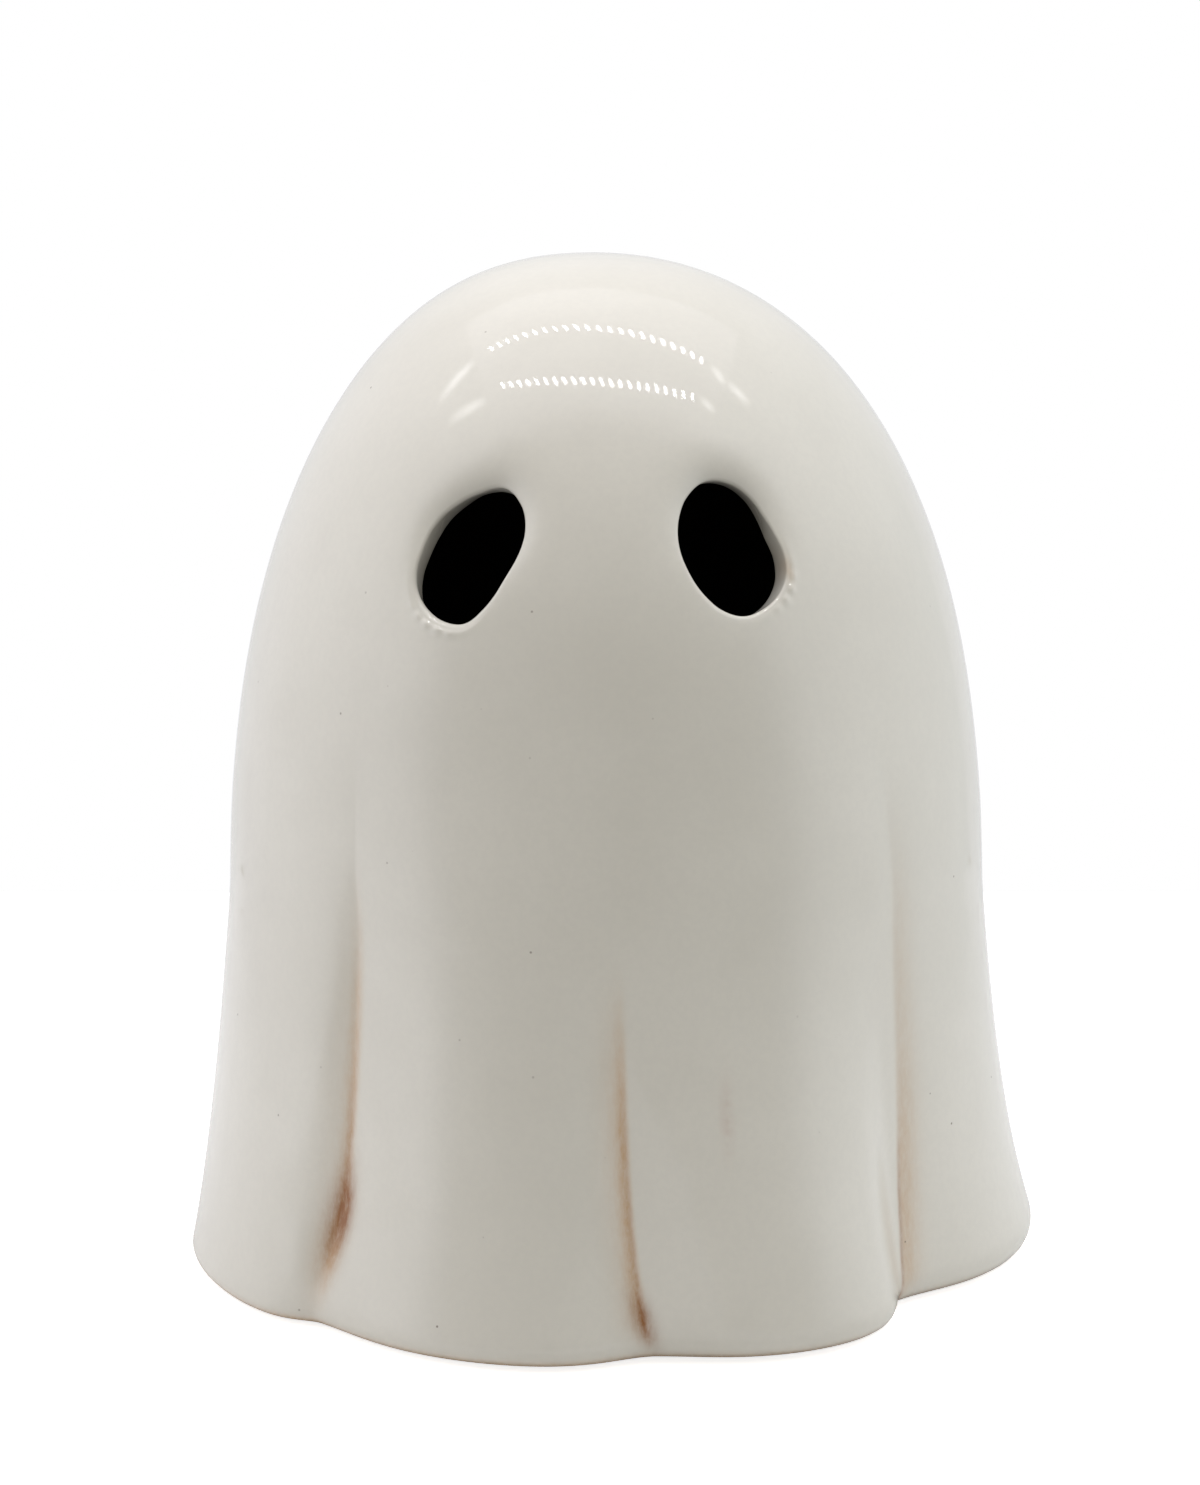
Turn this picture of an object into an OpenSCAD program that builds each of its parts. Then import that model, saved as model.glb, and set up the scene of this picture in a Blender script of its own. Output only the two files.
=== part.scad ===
// Light-up ceramic ghost. A hollow glazed shell, draped like a sheet, has two eyes cut through
// its wall. A battery light unit pushes up into a round hole in the base and shines through them.
// Millimetres, +Z up, the face looks along -Y and +X is on the viewer's right. The origin is on
// the table, under the middle of the base.

/* [Ghost shell] */
// Height of the shell, from the underside of the hem to the top of the head
shell_h = 134.5; // [115:0.5:155]
// Radius of the body where the dome starts
body_r = 50; // [46:0.1:56]
// Height above the hem where the dome starts
dome_start = 51; // [42:0.5:60]
// Fullness of the dome: 2 is an ellipse and more is squarer
dome_power = 2.25; // [2:0.05:2.5]
// How much the body widens towards the hem
body_taper = 3; // [0:0.5:5]
// How far the hem flares out beyond that
hem_flare = 6.1; // [3:0.1:8]
// How much more it flares on the viewer's right than in front, as a share
flare_side = 0.3; // [0:0.05:0.4]
// Height over which the flare dies away
flare_reach = 27; // [14:1:32]
// Radius of the rounded lower edge of the hem
hem_edge_r = 3.2; // [2:0.1:4]
// How much rounder that edge is on the viewer's right than in front, as a share
hem_edge_side = 0.5; // [0:0.05:0.5]
// How far the top of the head leans to the left
top_lean = 2; // [0:0.2:3]
// Thickness of the ceramic wall
wall = 4.5; // [3.5:0.5:6]

/* [Folds] */
// Height above the hem at which the folds fade out
fold_reach = 62; // [50:1:72]
// Depth of the deepest fold at the hem
fold_depth = 9; // [5:0.5:10]
// Width of the widest side of a fold
fold_width = 18; // [12:0.5:20]

/* [Eyes] */
// Length of an eye hole
eye_l = 18.5; // [14:0.5:22]
// Width of an eye hole
eye_w = 12.4; // [10:0.2:15]
// Height of the middle of the eye on the viewer's left above the hem
left_eye_z = 100.5; // [88:0.5:104]
// Height of the middle of the eye on the viewer's right above the hem
right_eye_z = 101.5; // [88:0.5:104]
// Angle of the eye on the viewer's left from the middle of the face
left_eye_angle = 24; // [20:0.5:28]
// Angle of the eye on the viewer's right from the middle of the face
right_eye_angle = 21.5; // [20:0.5:28]
// Lean of the eye on the viewer's left, its top towards the middle
left_eye_lean = 26; // [0:1:35]
// Lean of the eye on the viewer's right, its top towards the middle
right_eye_lean = 17; // [0:1:35]
// Radius of the soft outer edge of an eye hole
eye_edge_r = 1.3; // [0.5:0.1:2]

/* [Base] */
// Thickness of the ceramic floor
floor_t = 4.5; // [3.5:0.5:6]
// Depth of the recess under the floor
recess_depth = 4; // [3.6:0.1:5]
// Radius of a foot pad
pad_r = 4.5; // [3.5:0.5:5]
// How far the foot pads stand below the hem
pad_proud = 0.5; // [0.3:0.1:1]
// Least width of the foot ring left round the recess
foot_ring_w = 3.5; // [2.5:0.5:4.5]

/* [Light unit] */
// Radius of a button cell
cell_r = 5.8; // [5.5:0.1:6]
// Thickness of a button cell
cell_t = 5.4; // [5:0.1:5.6]
// Thickness of the outer wall of the housing
housing_wall = 1.6; // [1.4:0.1:2]
// Thickness of the base plate
plate_t = 2.4; // [2.2:0.1:2.8]
// How far the flange of the base plate reaches past the hole
flange_lip = 3.5; // [2.5:0.5:4.5]
// How far the grip ring stands out of the housing
ring_out = 1.9; // [1.4:0.1:2.4]
// Radius of the lamp
lamp_r = 2.5; // [2.3:0.1:2.5]
// Height of the lamp
lamp_h = 8.6; // [7.5:0.1:9.5]
// Thickness of the battery door
door_t = 1.8; // [1.7:0.1:1.9]
// Travel of the switch slider
slider_travel = 2.5; // [2:0.1:3]

/* [Hidden] */
$fn = 48;
// Overrun of every cut past the face that it opens
over = 0.5;
// Smallest gap between two pieces that don't move on each other
fit = 0.1;
// Gap round a piece that moves
running_gap = 0.3;

// The folds, one row each: the angle from the front at the hem, the angle higher up, the depth as
// a share of the deepest, the widths of the left and right sides as shares of the widest, and the
// height over which the fold swings from its hem angle to its upper angle
fold_shares = [
    [-44, -39.7, 0.38, 0.28, 0.87, 25],
    [6.5, 1.8, 0.6, 0.55, 0.8, 15],
    [52, 44.2, 1, 0.55, 0.97, 40],
    [112, 112, 0.55, 0.4, 0.33, 20],
    [145, 147, 0.55, 0.4, 0.5, 20],
    [-168, -168, 0.65, 0.5, 0.4, 20],
    [-130, -130, 0.55, 0.45, 0.45, 20],
    [-98, -97, 0.59, 0.28, 0.28, 20]
];
// The flare dies away sooner on the viewer's right by this share
flare_reach_side = 0.14;
// How fast the folds fade with height, and how round they are
fold_fade = 1.2;
fold_round = 1.5;
// The inner face follows the folds softly: each side is wider there by this share of the wall
inner_spread_share = 1.2;
// How sharply the lean gathers at the top of the head
lean_power = 10;
// Counts of points round the shell and of its rings up the hem, the side and the dome
shell_cols = 120;
hem_steps = 4;
side_steps = 10;
dome_steps = 16;
cavity_cols = 60;
cavity_side_steps = 5;
cavity_dome_steps = 9;
// An eye's outline narrows towards its top by this share
eye_egg_share = 0.06;
eye_points = 24;
eye_edge_steps = 4;
// How far the curved wall falls away from the eye's plane at the ends of the eye
eye_sag = pow(eye_l / 2, 2) / (2 * body_r);

// Levels of the base, from the table up
seat_z = pad_proud + recess_depth;
floor_z = seat_z + floor_t;
plate_top = seat_z - 2 * fit;
plate_z = plate_top - plate_t;

// The battery bay: three cells in a row between a contact plate and a spring
cell_count = 3;
contact_t = 0.4;
spring_l = 2.6;
bay_wall = 1.2;
bay_l = cell_count * cell_t + 2 * contact_t + spring_l + 2 * fit;
bay_w = 2 * (cell_r + running_gap);
bay_y = 3.5;
bay_front = bay_y - bay_w / 2;
bay_back = bay_y + bay_w / 2;
bay_out_x = bay_l / 2 + bay_wall;
cell_z = plate_z + door_t + running_gap + cell_r;
bay_roof_z = cell_z + cell_r + running_gap;
bay_top = bay_roof_z + bay_wall;
cell_x = bay_l / 2 - fit - contact_t - cell_t;

// The housing clears the corners of the bay, and the hole in the base clears the grip ring
corner_gap = 0.4;
housing_in_r = norm([bay_out_x, bay_back + bay_wall]) + corner_gap;
housing_r = housing_in_r + housing_wall;
bore_r = housing_r + ring_out + fit;
flange_r = bore_r + flange_lip;
flange_edge = 0.5;
groove_depth = 0.6;
ring_z = seat_z + 0.1 * floor_t;
ring_h = 0.8 * floor_t;
spigot_wall = 1;
spigot_h = 2.2;

// The recess stays inside the deepest fold, and the foot pads stand in it just past the flange
recess_r = min([for (f = fold_shares) shell_radius(f[0], 0)]) - foot_ring_w;
pad_gap = 1.5;
pad_edge = 0.4;
pad_ring_r = flange_r + pad_gap + pad_r;

// Two screws from below hold the housing down on the base plate
boss_r = 2.4;
boss_angle = 32;
boss_ring_r = housing_in_r - 0.85 * boss_r;
screw_r = 0.9;
screw_head_r = 1.8;
screw_head_h = 1.2;
screw_l = 7;
driver_slot_w = 0.5;
driver_slot_depth = 0.6;

// The circuit board stands on two posts on the roof of the battery bay
board_t = 1;
board_lift = 1.2;
board_z = bay_top + board_lift;
board_top = board_z + board_t;
board_margin = 0.6;
post_r = 1.5;
post_x = 0.75 * bay_out_x;
post_y = bay_y + 0.3 * bay_w;
stake_r = 0.8;
stake_head_r = 1.3;
stake_head_h = 0.5;

// The lamp stands over the middle of the board and looks out through the housing's roof
lamp_lift = 1.2;
lamp_z = board_top + lamp_lift;
lamp_rim_r = lamp_r + 0.4;
lamp_rim_h = 1;
lead_r = 0.25;
lead_x = 1.27;
lead_tail = 0.8;
roof_z = lamp_z + lamp_rim_h + running_gap;
roof_t = 1.6;
roof_edge = 0.8;
lamp_hole_r = lamp_r + 2 * fit;

// The resistor lies on the board behind the lamp
resistor_r = 0.9;
resistor_l = 3.4;
resistor_lead_r = 0.2;
resistor_span = 5.6;
resistor_x = -6;
resistor_y = bay_y - 1;
resistor_z = board_top + resistor_r + fit;

// The battery door swings on two pin stubs and is held shut by a screw through its ear
hinge_r = plate_t / 2;
hinge_y = bay_back - running_gap - hinge_r;
hinge_z = plate_z + hinge_r;
hinge_pin_r = 0.6;
hinge_pin_l = 1.3;
hinge_clearance = 0.05;
door_l = bay_l - 2 * running_gap;
door_front = bay_front + running_gap;
lock_boss_r = 2.6;
lock_boss_h = 4.4;
lock_y = bay_front - bay_wall - 0.7 * lock_boss_r;
ear_r = 2.6;
lock_head_r = 1.7;
lock_head_h = 1;
lock_r = 1;
lock_reach = 2;
// Room round the end of the door's screw, so that it swings out with the door
lock_swing_room = 0.5;

// The slide switch stands on the base plate in front of the lock boss
switch_l = 8.6;
switch_w = 4.4;
switch_h = 4.6;
switch_gap = 1;
switch_y = lock_y - lock_boss_r - switch_gap - switch_w / 2;
switch_wall = 0.7;
slider_l = 3;
slider_w = 2.2;
slider_out = 0.9;
slider_room_l = slider_l + slider_travel + 2 * running_gap;
slider_room_w = slider_w + 2 * running_gap;
slider_top = plate_top + switch_h - switch_wall - running_gap;
pin_pitch = 2.5;
pin_w = 0.6;
pin_t = 0.3;
pin_h = 2;

// The contacts: a plate at each end of the bay, with a tab up through the bay's roof
contact_w = 7;
contact_low = 2;
contact_x = bay_l / 2 - fit - contact_t / 2;
tab_w = 2;
tab_up = 0.6;
spring_wire_r = 0.25;
spring_wide_r = 3.6;
spring_narrow_r = 1.6;
spring_turns = 3;
spring_steps = 12;

// The wires
wire_r = 0.4;
wire_sides = 8;
wire_steps = 8;
wire_loop = 1.6;
wire_inset = 1.2;
red_wire_x = 8.5;
white_wire_x = -4.5;

// Sum of a list of numbers
function total(list) = list * [for (item = list) 1];

// Angle a seen from angle b, between -180 and 180
function turn(a, b) = (a - b) - 360 * round((a - b) / 360);

function fold_angle(f, z) = f[1] + (f[0] - f[1]) * exp(-z / f[5]);

// Depth of one fold at an angle. The inset is zero on the outer face
function fold_dip(f, angle, z, inset) =
    let (
        across = turn(angle, fold_angle(f, z)) * body_r * PI / 180,
        width = fold_width * (across < 0 ? f[3] : f[4]) + inset * inner_spread_share
    )
    f[2] * fold_depth / pow(1 + pow(across / width, 2), fold_round);

function all_folds(angle, z, inset) = z >= fold_reach ? 0
    : pow(1 - z / fold_reach, fold_fade) * total([for (f = fold_shares) fold_dip(f, angle, z, inset)]);

function dome_share(z, inset) = z <= dome_start ? 1
    : pow(1 - pow((z - dome_start) / (shell_h - inset - dome_start), dome_power), 1 / dome_power);

// How far the hem flares out at an angle and a height
function flare(angle, z) = hem_flare * (1 + flare_side * sin(angle))
    * exp(-z / (flare_reach * (1 - flare_reach_side * sin(angle))));

// Radius of the rounded hem edge at an angle, and how far it draws in at a height
function edge_radius(angle) = hem_edge_r * (1 + hem_edge_side * sin(angle));
function edge_draw(angle, z) =
    let (r = edge_radius(angle))
    z >= r ? 0 : r - sqrt(pow(r, 2) - pow(r - z, 2));

// Radius of the shell at an angle and a height, or of its inner face at an inset of the wall
function shell_radius(angle, z, inset = 0) =
    (body_r - inset + flare(angle, z) + body_taper * max(0, 1 - z / dome_start)
        - all_folds(angle, z, inset)) * dome_share(z, inset) - (inset > 0 ? 0 : edge_draw(angle, z));

function lean(z) = top_lean * pow(z / shell_h, lean_power);

function shell_point(angle, z, inset = 0) =
    let (r = shell_radius(angle, z, inset))
    [r * sin(angle) - lean(z), -r * cos(angle), z];

function shell_ring(z, cols, inset = 0) = [for (k = [0:cols - 1]) shell_point(360 * k / cols, z, inset)];

// A ring partly up the rounded hem edge, and one partly from there up to the dome
function hem_ring(share) = [for (k = [0:shell_cols - 1])
    let (angle = 360 * k / shell_cols)
    shell_point(angle, edge_radius(angle) * (1 - cos(90 * share)))];
function side_ring(share) = [for (k = [0:shell_cols - 1])
    let (angle = 360 * k / shell_cols, low = edge_radius(angle))
    shell_point(angle, low + (dome_start - low) * share)];

// A closed solid through rings of points, each anticlockwise seen from the last ring's side
module loft(rings, first, last) {
    n = len(rings[0]);
    m = len(rings);
    top = n * m + 1;
    function at(i, k) = 1 + i * n + k % n;
    polyhedron(
        points = concat([first], [for (ring = rings) each ring], [last]),
        faces = concat(
            [for (k = [0:n - 1]) [0, at(0, k), at(0, k + 1)]],
            [for (i = [0:m - 2], k = [0:n - 1]) each [
                [at(i, k), at(i + 1, k), at(i + 1, k + 1)],
                [at(i, k), at(i + 1, k + 1), at(i, k + 1)]
            ]],
            [for (k = [0:n - 1]) [top, at(m - 1, k + 1), at(m - 1, k)]]
        )
    );
}

// The draped outside of the ghost, filled
module outer_form() {
    dome_h = shell_h - dome_start;
    rings = concat(
        [for (k = [0:hem_steps]) hem_ring(k / hem_steps)],
        [for (k = [1:side_steps]) side_ring(k / side_steps)],
        [for (k = [1:dome_steps - 1])
            shell_ring(dome_start + dome_h * sin(90 * k / dome_steps), shell_cols)]
    );
    loft(rings, [0, 0, 0], [-top_lean, 0, shell_h]);
}

// The hollow inside the ghost, above its floor
module cavity_form() {
    low = recess_depth + floor_t;
    high = shell_h - wall;
    dome_h = high - dome_start;
    heights = concat(
        [for (k = [0:cavity_side_steps]) low + (dome_start - low) * k / cavity_side_steps],
        [for (k = [1:cavity_dome_steps - 1]) dome_start + dome_h * sin(90 * k / cavity_dome_steps)]
    );
    loft([for (z = heights) shell_ring(z, cavity_cols, wall)], [0, 0, low], [-lean(high), 0, high]);
}

// Outline of an eye, grown all round by an amount, at a height along its own axis
function eye_ring(grow, z) = [for (k = [0:eye_points - 1])
    let (a = 360 * k / eye_points)
    [(eye_w / 2 + grow) * cos(a) * (1 - eye_egg_share * sin(a)), (eye_l / 2 + grow) * sin(a), z]];

// The cut for one eye, square to the wall, with its soft outer edge. The side is -1 or 1
module eye_cut(side, eye_angle, eye_z, eye_lean) {
    slope = (shell_radius(0, eye_z - wall) - shell_radius(0, eye_z + wall)) / (2 * wall);
    inner = -2 * (wall + eye_sag);
    outer = 2 * eye_edge_r;
    rings = concat(
        [eye_ring(0, inner)],
        [for (k = [0:eye_edge_steps]) eye_ring(eye_edge_r * (1 - cos(90 * k / eye_edge_steps)),
            eye_edge_r * (sin(90 * k / eye_edge_steps) - 1) - eye_sag / 2)],
        [eye_ring(eye_edge_r, outer)]
    );
    translate(shell_point(side * eye_angle, eye_z))
        rotate([90 - atan(slope), 0, side * eye_angle])
            rotate([0, 0, side * eye_lean])
                loft(rings, [0, 0, inner], [0, 0, outer]);
}

module ghost_shell() {
    color("ivory")
        translate([0, 0, pad_proud])
            difference() {
                outer_form();
                cavity_form();
                eye_cut(-1, left_eye_angle, left_eye_z, left_eye_lean);
                eye_cut(1, right_eye_angle, right_eye_z, right_eye_lean);
                translate([0, 0, -over])
                    cylinder(h = recess_depth + over, r = recess_r);
                translate([0, 0, -over])
                    cylinder(h = recess_depth + floor_t + 2 * over, r = bore_r);
            }
}

// One glued foot pad, at an angle round the base
module foot_pad(angle) {
    color("lightgray")
        rotate([0, 0, angle])
            translate([pad_ring_r, 0, 0]) {
                cylinder(h = pad_edge, r1 = pad_r - pad_edge, r2 = pad_r);
                translate([0, 0, pad_edge])
                    cylinder(h = seat_z - pad_edge, r = pad_r);
            }
}

// Places its children at the two housing screws
module at_bosses() {
    for (side = [-1, 1])
        translate([side * boss_ring_r * cos(boss_angle), -boss_ring_r * sin(boss_angle), 0])
            children();
}

module light_housing() {
    color("whitesmoke")
        difference() {
            union() {
                difference() {
                    union() {
                        translate([0, 0, plate_top])
                            cylinder(h = roof_z + roof_t - roof_edge - plate_top, r = housing_r);
                        translate([0, 0, roof_z + roof_t - roof_edge])
                            cylinder(h = roof_edge, r1 = housing_r, r2 = housing_r - roof_edge);
                    }
                    translate([0, 0, plate_top - over])
                        cylinder(h = roof_z - plate_top + over, r = housing_in_r);
                }
                intersection() {
                    at_bosses()
                        translate([0, 0, plate_top])
                            cylinder(h = roof_z - plate_top + over, r = boss_r);
                    cylinder(h = roof_z + over, r = housing_in_r + over);
                }
            }
            at_bosses()
                translate([0, 0, plate_top - over])
                    cylinder(h = screw_l + over, r = screw_r + fit / 2);
            translate([0, 0, roof_z - over])
                cylinder(h = roof_t + 2 * over, r = lamp_hole_r);
            translate([0, 0, ring_z - fit])
                difference() {
                    cylinder(h = ring_h + 2 * fit, r = housing_r + over);
                    translate([0, 0, -over])
                        cylinder(h = ring_h + 2 * fit + 2 * over, r = housing_r - groove_depth);
                }
        }
}

// A rubber ring with two ridges, in the housing's groove
module grip_ring() {
    in_r = housing_r - groove_depth + fit / 2;
    out_r = bore_r - fit;
    ridge_r = ring_h / 4;
    color("dimgray")
        translate([0, 0, ring_z])
            rotate_extrude() {
                translate([in_r, 0])
                    square([out_r - ridge_r - in_r, ring_h]);
                for (side = [1, 3])
                    translate([out_r - ridge_r, side * ridge_r])
                        circle(r = ridge_r, $fn = 32);
            }
}

// The cut in the base plate that the battery door lies in
module door_cut() {
    translate([-bay_l / 2, bay_front, plate_z - over])
        cube([bay_l, bay_w, bay_roof_z - plate_z + over]);
    translate([-ear_r - running_gap, lock_y, plate_z - over])
        cube([2 * (ear_r + running_gap), bay_front - lock_y + over, door_t + running_gap + over]);
    translate([0, lock_y, plate_z - over])
        cylinder(h = door_t + running_gap + over, r = ear_r + running_gap);
    translate([0, lock_y, plate_z])
        cylinder(h = door_t + lock_reach + 2 * running_gap, r = lock_r + lock_swing_room);
    translate([-bay_l / 2 - hinge_pin_l - running_gap, hinge_y, hinge_z])
        rotate([0, 90, 0])
            cylinder(h = bay_l + 2 * (hinge_pin_l + running_gap), r = hinge_pin_r + hinge_clearance);
}

module bay_box() {
    translate([-bay_out_x, bay_front - bay_wall, plate_z])
        cube([2 * bay_out_x, bay_w + 2 * bay_wall, bay_top - plate_z]);
}

module base_plate() {
    color("whitesmoke")
        difference() {
            union() {
                translate([0, 0, plate_z])
                    cylinder(h = flange_edge, r1 = flange_r - flange_edge, r2 = flange_r);
                translate([0, 0, plate_z + flange_edge])
                    cylinder(h = plate_t - flange_edge, r = flange_r);
                bay_box();
                translate([0, lock_y, plate_z])
                    cylinder(h = plate_t + lock_boss_h, r = lock_boss_r);
                difference() {
                    translate([0, 0, plate_top - over])
                        cylinder(h = spigot_h + over, r = housing_in_r - fit);
                    translate([0, 0, plate_top])
                        cylinder(h = spigot_h + over, r = housing_in_r - fit - spigot_wall);
                    at_bosses()
                        translate([0, 0, plate_top])
                            cylinder(h = spigot_h + over, r = boss_r + running_gap);
                }
                for (side = [-1, 1])
                    translate([side * post_x, post_y, bay_roof_z]) {
                        cylinder(h = board_z - bay_roof_z, r = post_r);
                        cylinder(h = board_top - bay_roof_z + fit, r = stake_r);
                        translate([0, 0, board_top - bay_roof_z + fit])
                            cylinder(h = stake_head_h, r = stake_head_r);
                    }
            }
            door_cut();
            at_bosses() {
                translate([0, 0, plate_z - over])
                    cylinder(h = screw_head_h + over, r = screw_head_r + fit);
                translate([0, 0, plate_z])
                    cylinder(h = plate_t + over, r = screw_r + fit);
            }
            translate([-slider_room_l / 2, switch_y - slider_room_w / 2, plate_z - over])
                cube([slider_room_l, slider_room_w, plate_t + 2 * over]);
            for (side = [-1, 1])
                translate([side * contact_x, bay_y, bay_roof_z + bay_wall / 2])
                    cube([contact_t + 2 * fit, tab_w + 2 * fit, bay_wall + 2 * over], center = true);
        }
}

// A pan-head screw standing on its head, with a cross slot in the head
module screw(head_r, head_h, shank_r, reach) {
    difference() {
        union() {
            cylinder(h = head_h, r = head_r);
            cylinder(h = head_h + reach, r = shank_r);
        }
        for (a = [0, 90])
            rotate([0, 0, a])
                translate([-head_r * 0.65, -driver_slot_w / 2, -over])
                    cube([head_r * 1.3, driver_slot_w, driver_slot_depth + over]);
    }
}

module housing_screws() {
    color("silver")
        at_bosses()
            translate([0, 0, plate_z])
                screw(screw_head_r, screw_head_h, screw_r, screw_l);
}

module circuit_board() {
    color("darkgreen")
        difference() {
            translate([-bay_out_x - board_margin, bay_front - bay_wall, board_z])
                cube([2 * (bay_out_x + board_margin), bay_w + bay_wall, board_t]);
            for (side = [-1, 1]) {
                translate([side * post_x, post_y, board_z - over])
                    cylinder(h = board_t + 2 * over, r = stake_r + fit);
                translate([side * lead_x, 0, board_z - over])
                    cylinder(h = board_t + 2 * over, r = lead_r + fit);
                translate([resistor_x + side * resistor_span / 2, resistor_y, board_z - over])
                    cylinder(h = board_t + 2 * over, r = resistor_lead_r + fit);
            }
        }
}

module lamp() {
    color("lightyellow")
        translate([0, 0, lamp_z]) {
            cylinder(h = lamp_rim_h, r = lamp_rim_r);
            cylinder(h = lamp_h - lamp_r, r = lamp_r);
            translate([0, 0, lamp_h - lamp_r])
                sphere(r = lamp_r);
        }
}

module lamp_leads() {
    color("silver")
        for (side = [-1, 1])
            translate([side * lead_x, 0, board_z - lead_tail])
                cylinder(h = lamp_z - board_z + lead_tail, r = lead_r, $fn = 24);
}

module resistor() {
    lead_down = resistor_z - board_z + lead_tail;
    color("tan")
        translate([resistor_x, resistor_y, resistor_z]) {
            rotate([0, 90, 0])
                cylinder(h = resistor_l, r = resistor_r, center = true);
            rotate([0, 90, 0])
                cylinder(h = resistor_span, r = resistor_lead_r, center = true, $fn = 24);
            for (side = [-1, 1])
                translate([side * resistor_span / 2, 0, -lead_down])
                    cylinder(h = lead_down + resistor_lead_r, r = resistor_lead_r, $fn = 24);
        }
}

module switch_body() {
    color("black")
        difference() {
            translate([-switch_l / 2, switch_y - switch_w / 2, plate_top])
                cube([switch_l, switch_w, switch_h]);
            translate([-slider_room_l / 2, switch_y - slider_room_w / 2, plate_top - over])
                cube([slider_room_l, slider_room_w, switch_h - switch_wall + over]);
        }
}

module switch_pins() {
    color("gold")
        for (k = [-1, 0, 1])
            translate([k * pin_pitch - pin_w / 2, switch_y - pin_t / 2, plate_top + switch_h])
                cube([pin_w, pin_t, pin_h]);
}

module switch_slider() {
    color("black")
        translate([-slider_l / 2 - slider_travel / 2, switch_y - slider_w / 2, plate_z - slider_out])
            cube([slider_l, slider_w, slider_top - plate_z + slider_out]);
}

// A button cell: the can, and the smaller cap at its negative side
module cell(index) {
    cap_t = 0.12 * cell_t;
    color("silver")
        translate([cell_x - index * cell_t, bay_y, cell_z])
            rotate([0, 90, 0]) {
                cylinder(h = cap_t, r = 0.8 * cell_r);
                translate([0, 0, cap_t])
                    cylinder(h = cell_t - cap_t, r = cell_r);
            }
}

// One contact plate with its tab, at the end of the bay on a side
module contact_plate(side) {
    low = plate_z + door_t + contact_low;
    translate([side * contact_x - contact_t / 2, 0, 0]) {
        translate([0, bay_y - contact_w / 2, low])
            cube([contact_t, contact_w, bay_roof_z - fit - low]);
        translate([0, bay_y - tab_w / 2, low])
            cube([contact_t, tab_w, bay_top + tab_up - low]);
    }
}

// Unit vector along v
function unit(v) = v / norm(v);

// A round tube along a list of points. The side vector is never along the path
module tube(path, r, sides, side_vector) {
    last = len(path) - 1;
    function along(i) = unit(path[min(i + 1, last)] - path[max(i - 1, 0)]);
    rings = [for (i = [0:last])
        let (
            t = along(i),
            u = unit(cross(side_vector, t)),
            v = cross(t, u)
        )
        [for (k = [0:sides - 1]) path[i] + r * (cos(360 * k / sides) * u + sin(360 * k / sides) * v)]];
    loft(rings, path[0], path[last]);
}

module positive_contact() {
    color("silver")
        contact_plate(1);
}

module negative_contact() {
    low_x = -contact_x + contact_t / 2 + spring_wire_r / 2;
    climb = spring_l - 1.5 * spring_wire_r;
    count = spring_turns * spring_steps;
    path = [for (i = [0:count])
        let (
            share = i / count,
            r = spring_wide_r + (spring_narrow_r - spring_wide_r) * share,
            a = 360 * spring_turns * share
        )
        [low_x + climb * share, bay_y + r * cos(a), cell_z + r * sin(a)]];
    color("silver") {
        contact_plate(-1);
        tube(path, spring_wire_r, 6, [1, 0, 0]);
    }
}

module battery_door() {
    color("whitesmoke")
        difference() {
            union() {
                translate([-door_l / 2, door_front, plate_z])
                    cube([door_l, hinge_y - door_front, door_t]);
                translate([-door_l / 2, hinge_y, hinge_z])
                    rotate([0, 90, 0])
                        cylinder(h = door_l, r = hinge_r);
                translate([-door_l / 2 - hinge_pin_l, hinge_y, hinge_z])
                    rotate([0, 90, 0])
                        cylinder(h = door_l + 2 * hinge_pin_l, r = hinge_pin_r);
                translate([-ear_r, lock_y, plate_z])
                    cube([2 * ear_r, door_front - lock_y + over, door_t]);
                translate([0, lock_y, plate_z])
                    cylinder(h = door_t, r = ear_r);
            }
            translate([0, lock_y, plate_z - over])
                cylinder(h = lock_head_h + over, r = lock_head_r + fit);
            translate([0, lock_y, plate_z])
                cylinder(h = door_t + over, r = lock_r + fit);
        }
}

module door_screw() {
    color("silver")
        translate([0, lock_y, plate_z])
            screw(lock_head_r, lock_head_h, lock_r, door_t - lock_head_h + lock_reach);
}

// Points along a smooth curve from a to d, drawn towards b and c on the way
function curve(a, b, c, d) = [for (i = [0:wire_steps])
    let (t = i / wire_steps)
    pow(1 - t, 3) * a + 3 * pow(1 - t, 2) * t * b + 3 * (1 - t) * pow(t, 2) * c + pow(t, 3) * d];

// Two curves end to end
function joined(first, second) = concat(first, [for (i = [1:len(second) - 1]) second[i]]);

// Where a wire is soldered to a contact's tab
function tab_end(side) = [side * contact_x, bay_y - tab_w / 2 - fit, bay_top + board_lift / 2];

// Where a wire is soldered to a switch pin
function pin_end(k) = [k * pin_pitch, switch_y, plate_top + switch_h + pin_h + fit];

// Where a wire passes the front edge of the board, and where it is soldered to the board's top
function board_edge(x) = [x, bay_front - bay_wall - fit - 2 * wire_r, board_z + board_t / 2];
function board_end(x) = [x, bay_front - bay_wall + wire_inset, board_top + fit];

// From the front edge of the board over onto its top
function over_edge(x) =
    let (loop = [0, 0, wire_loop])
    curve(board_edge(x), board_edge(x) + loop, board_end(x) + loop, board_end(x));

module red_wire() {
    start = tab_end(1);
    edge = board_edge(red_wire_x);
    under = curve(start, start - [0, bay_w / 2, 0], edge - [0, 0, board_lift], edge);
    color("red")
        tube(joined(under, over_edge(red_wire_x)), wire_r, wire_sides, [1, 0, 0]);
}

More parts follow.
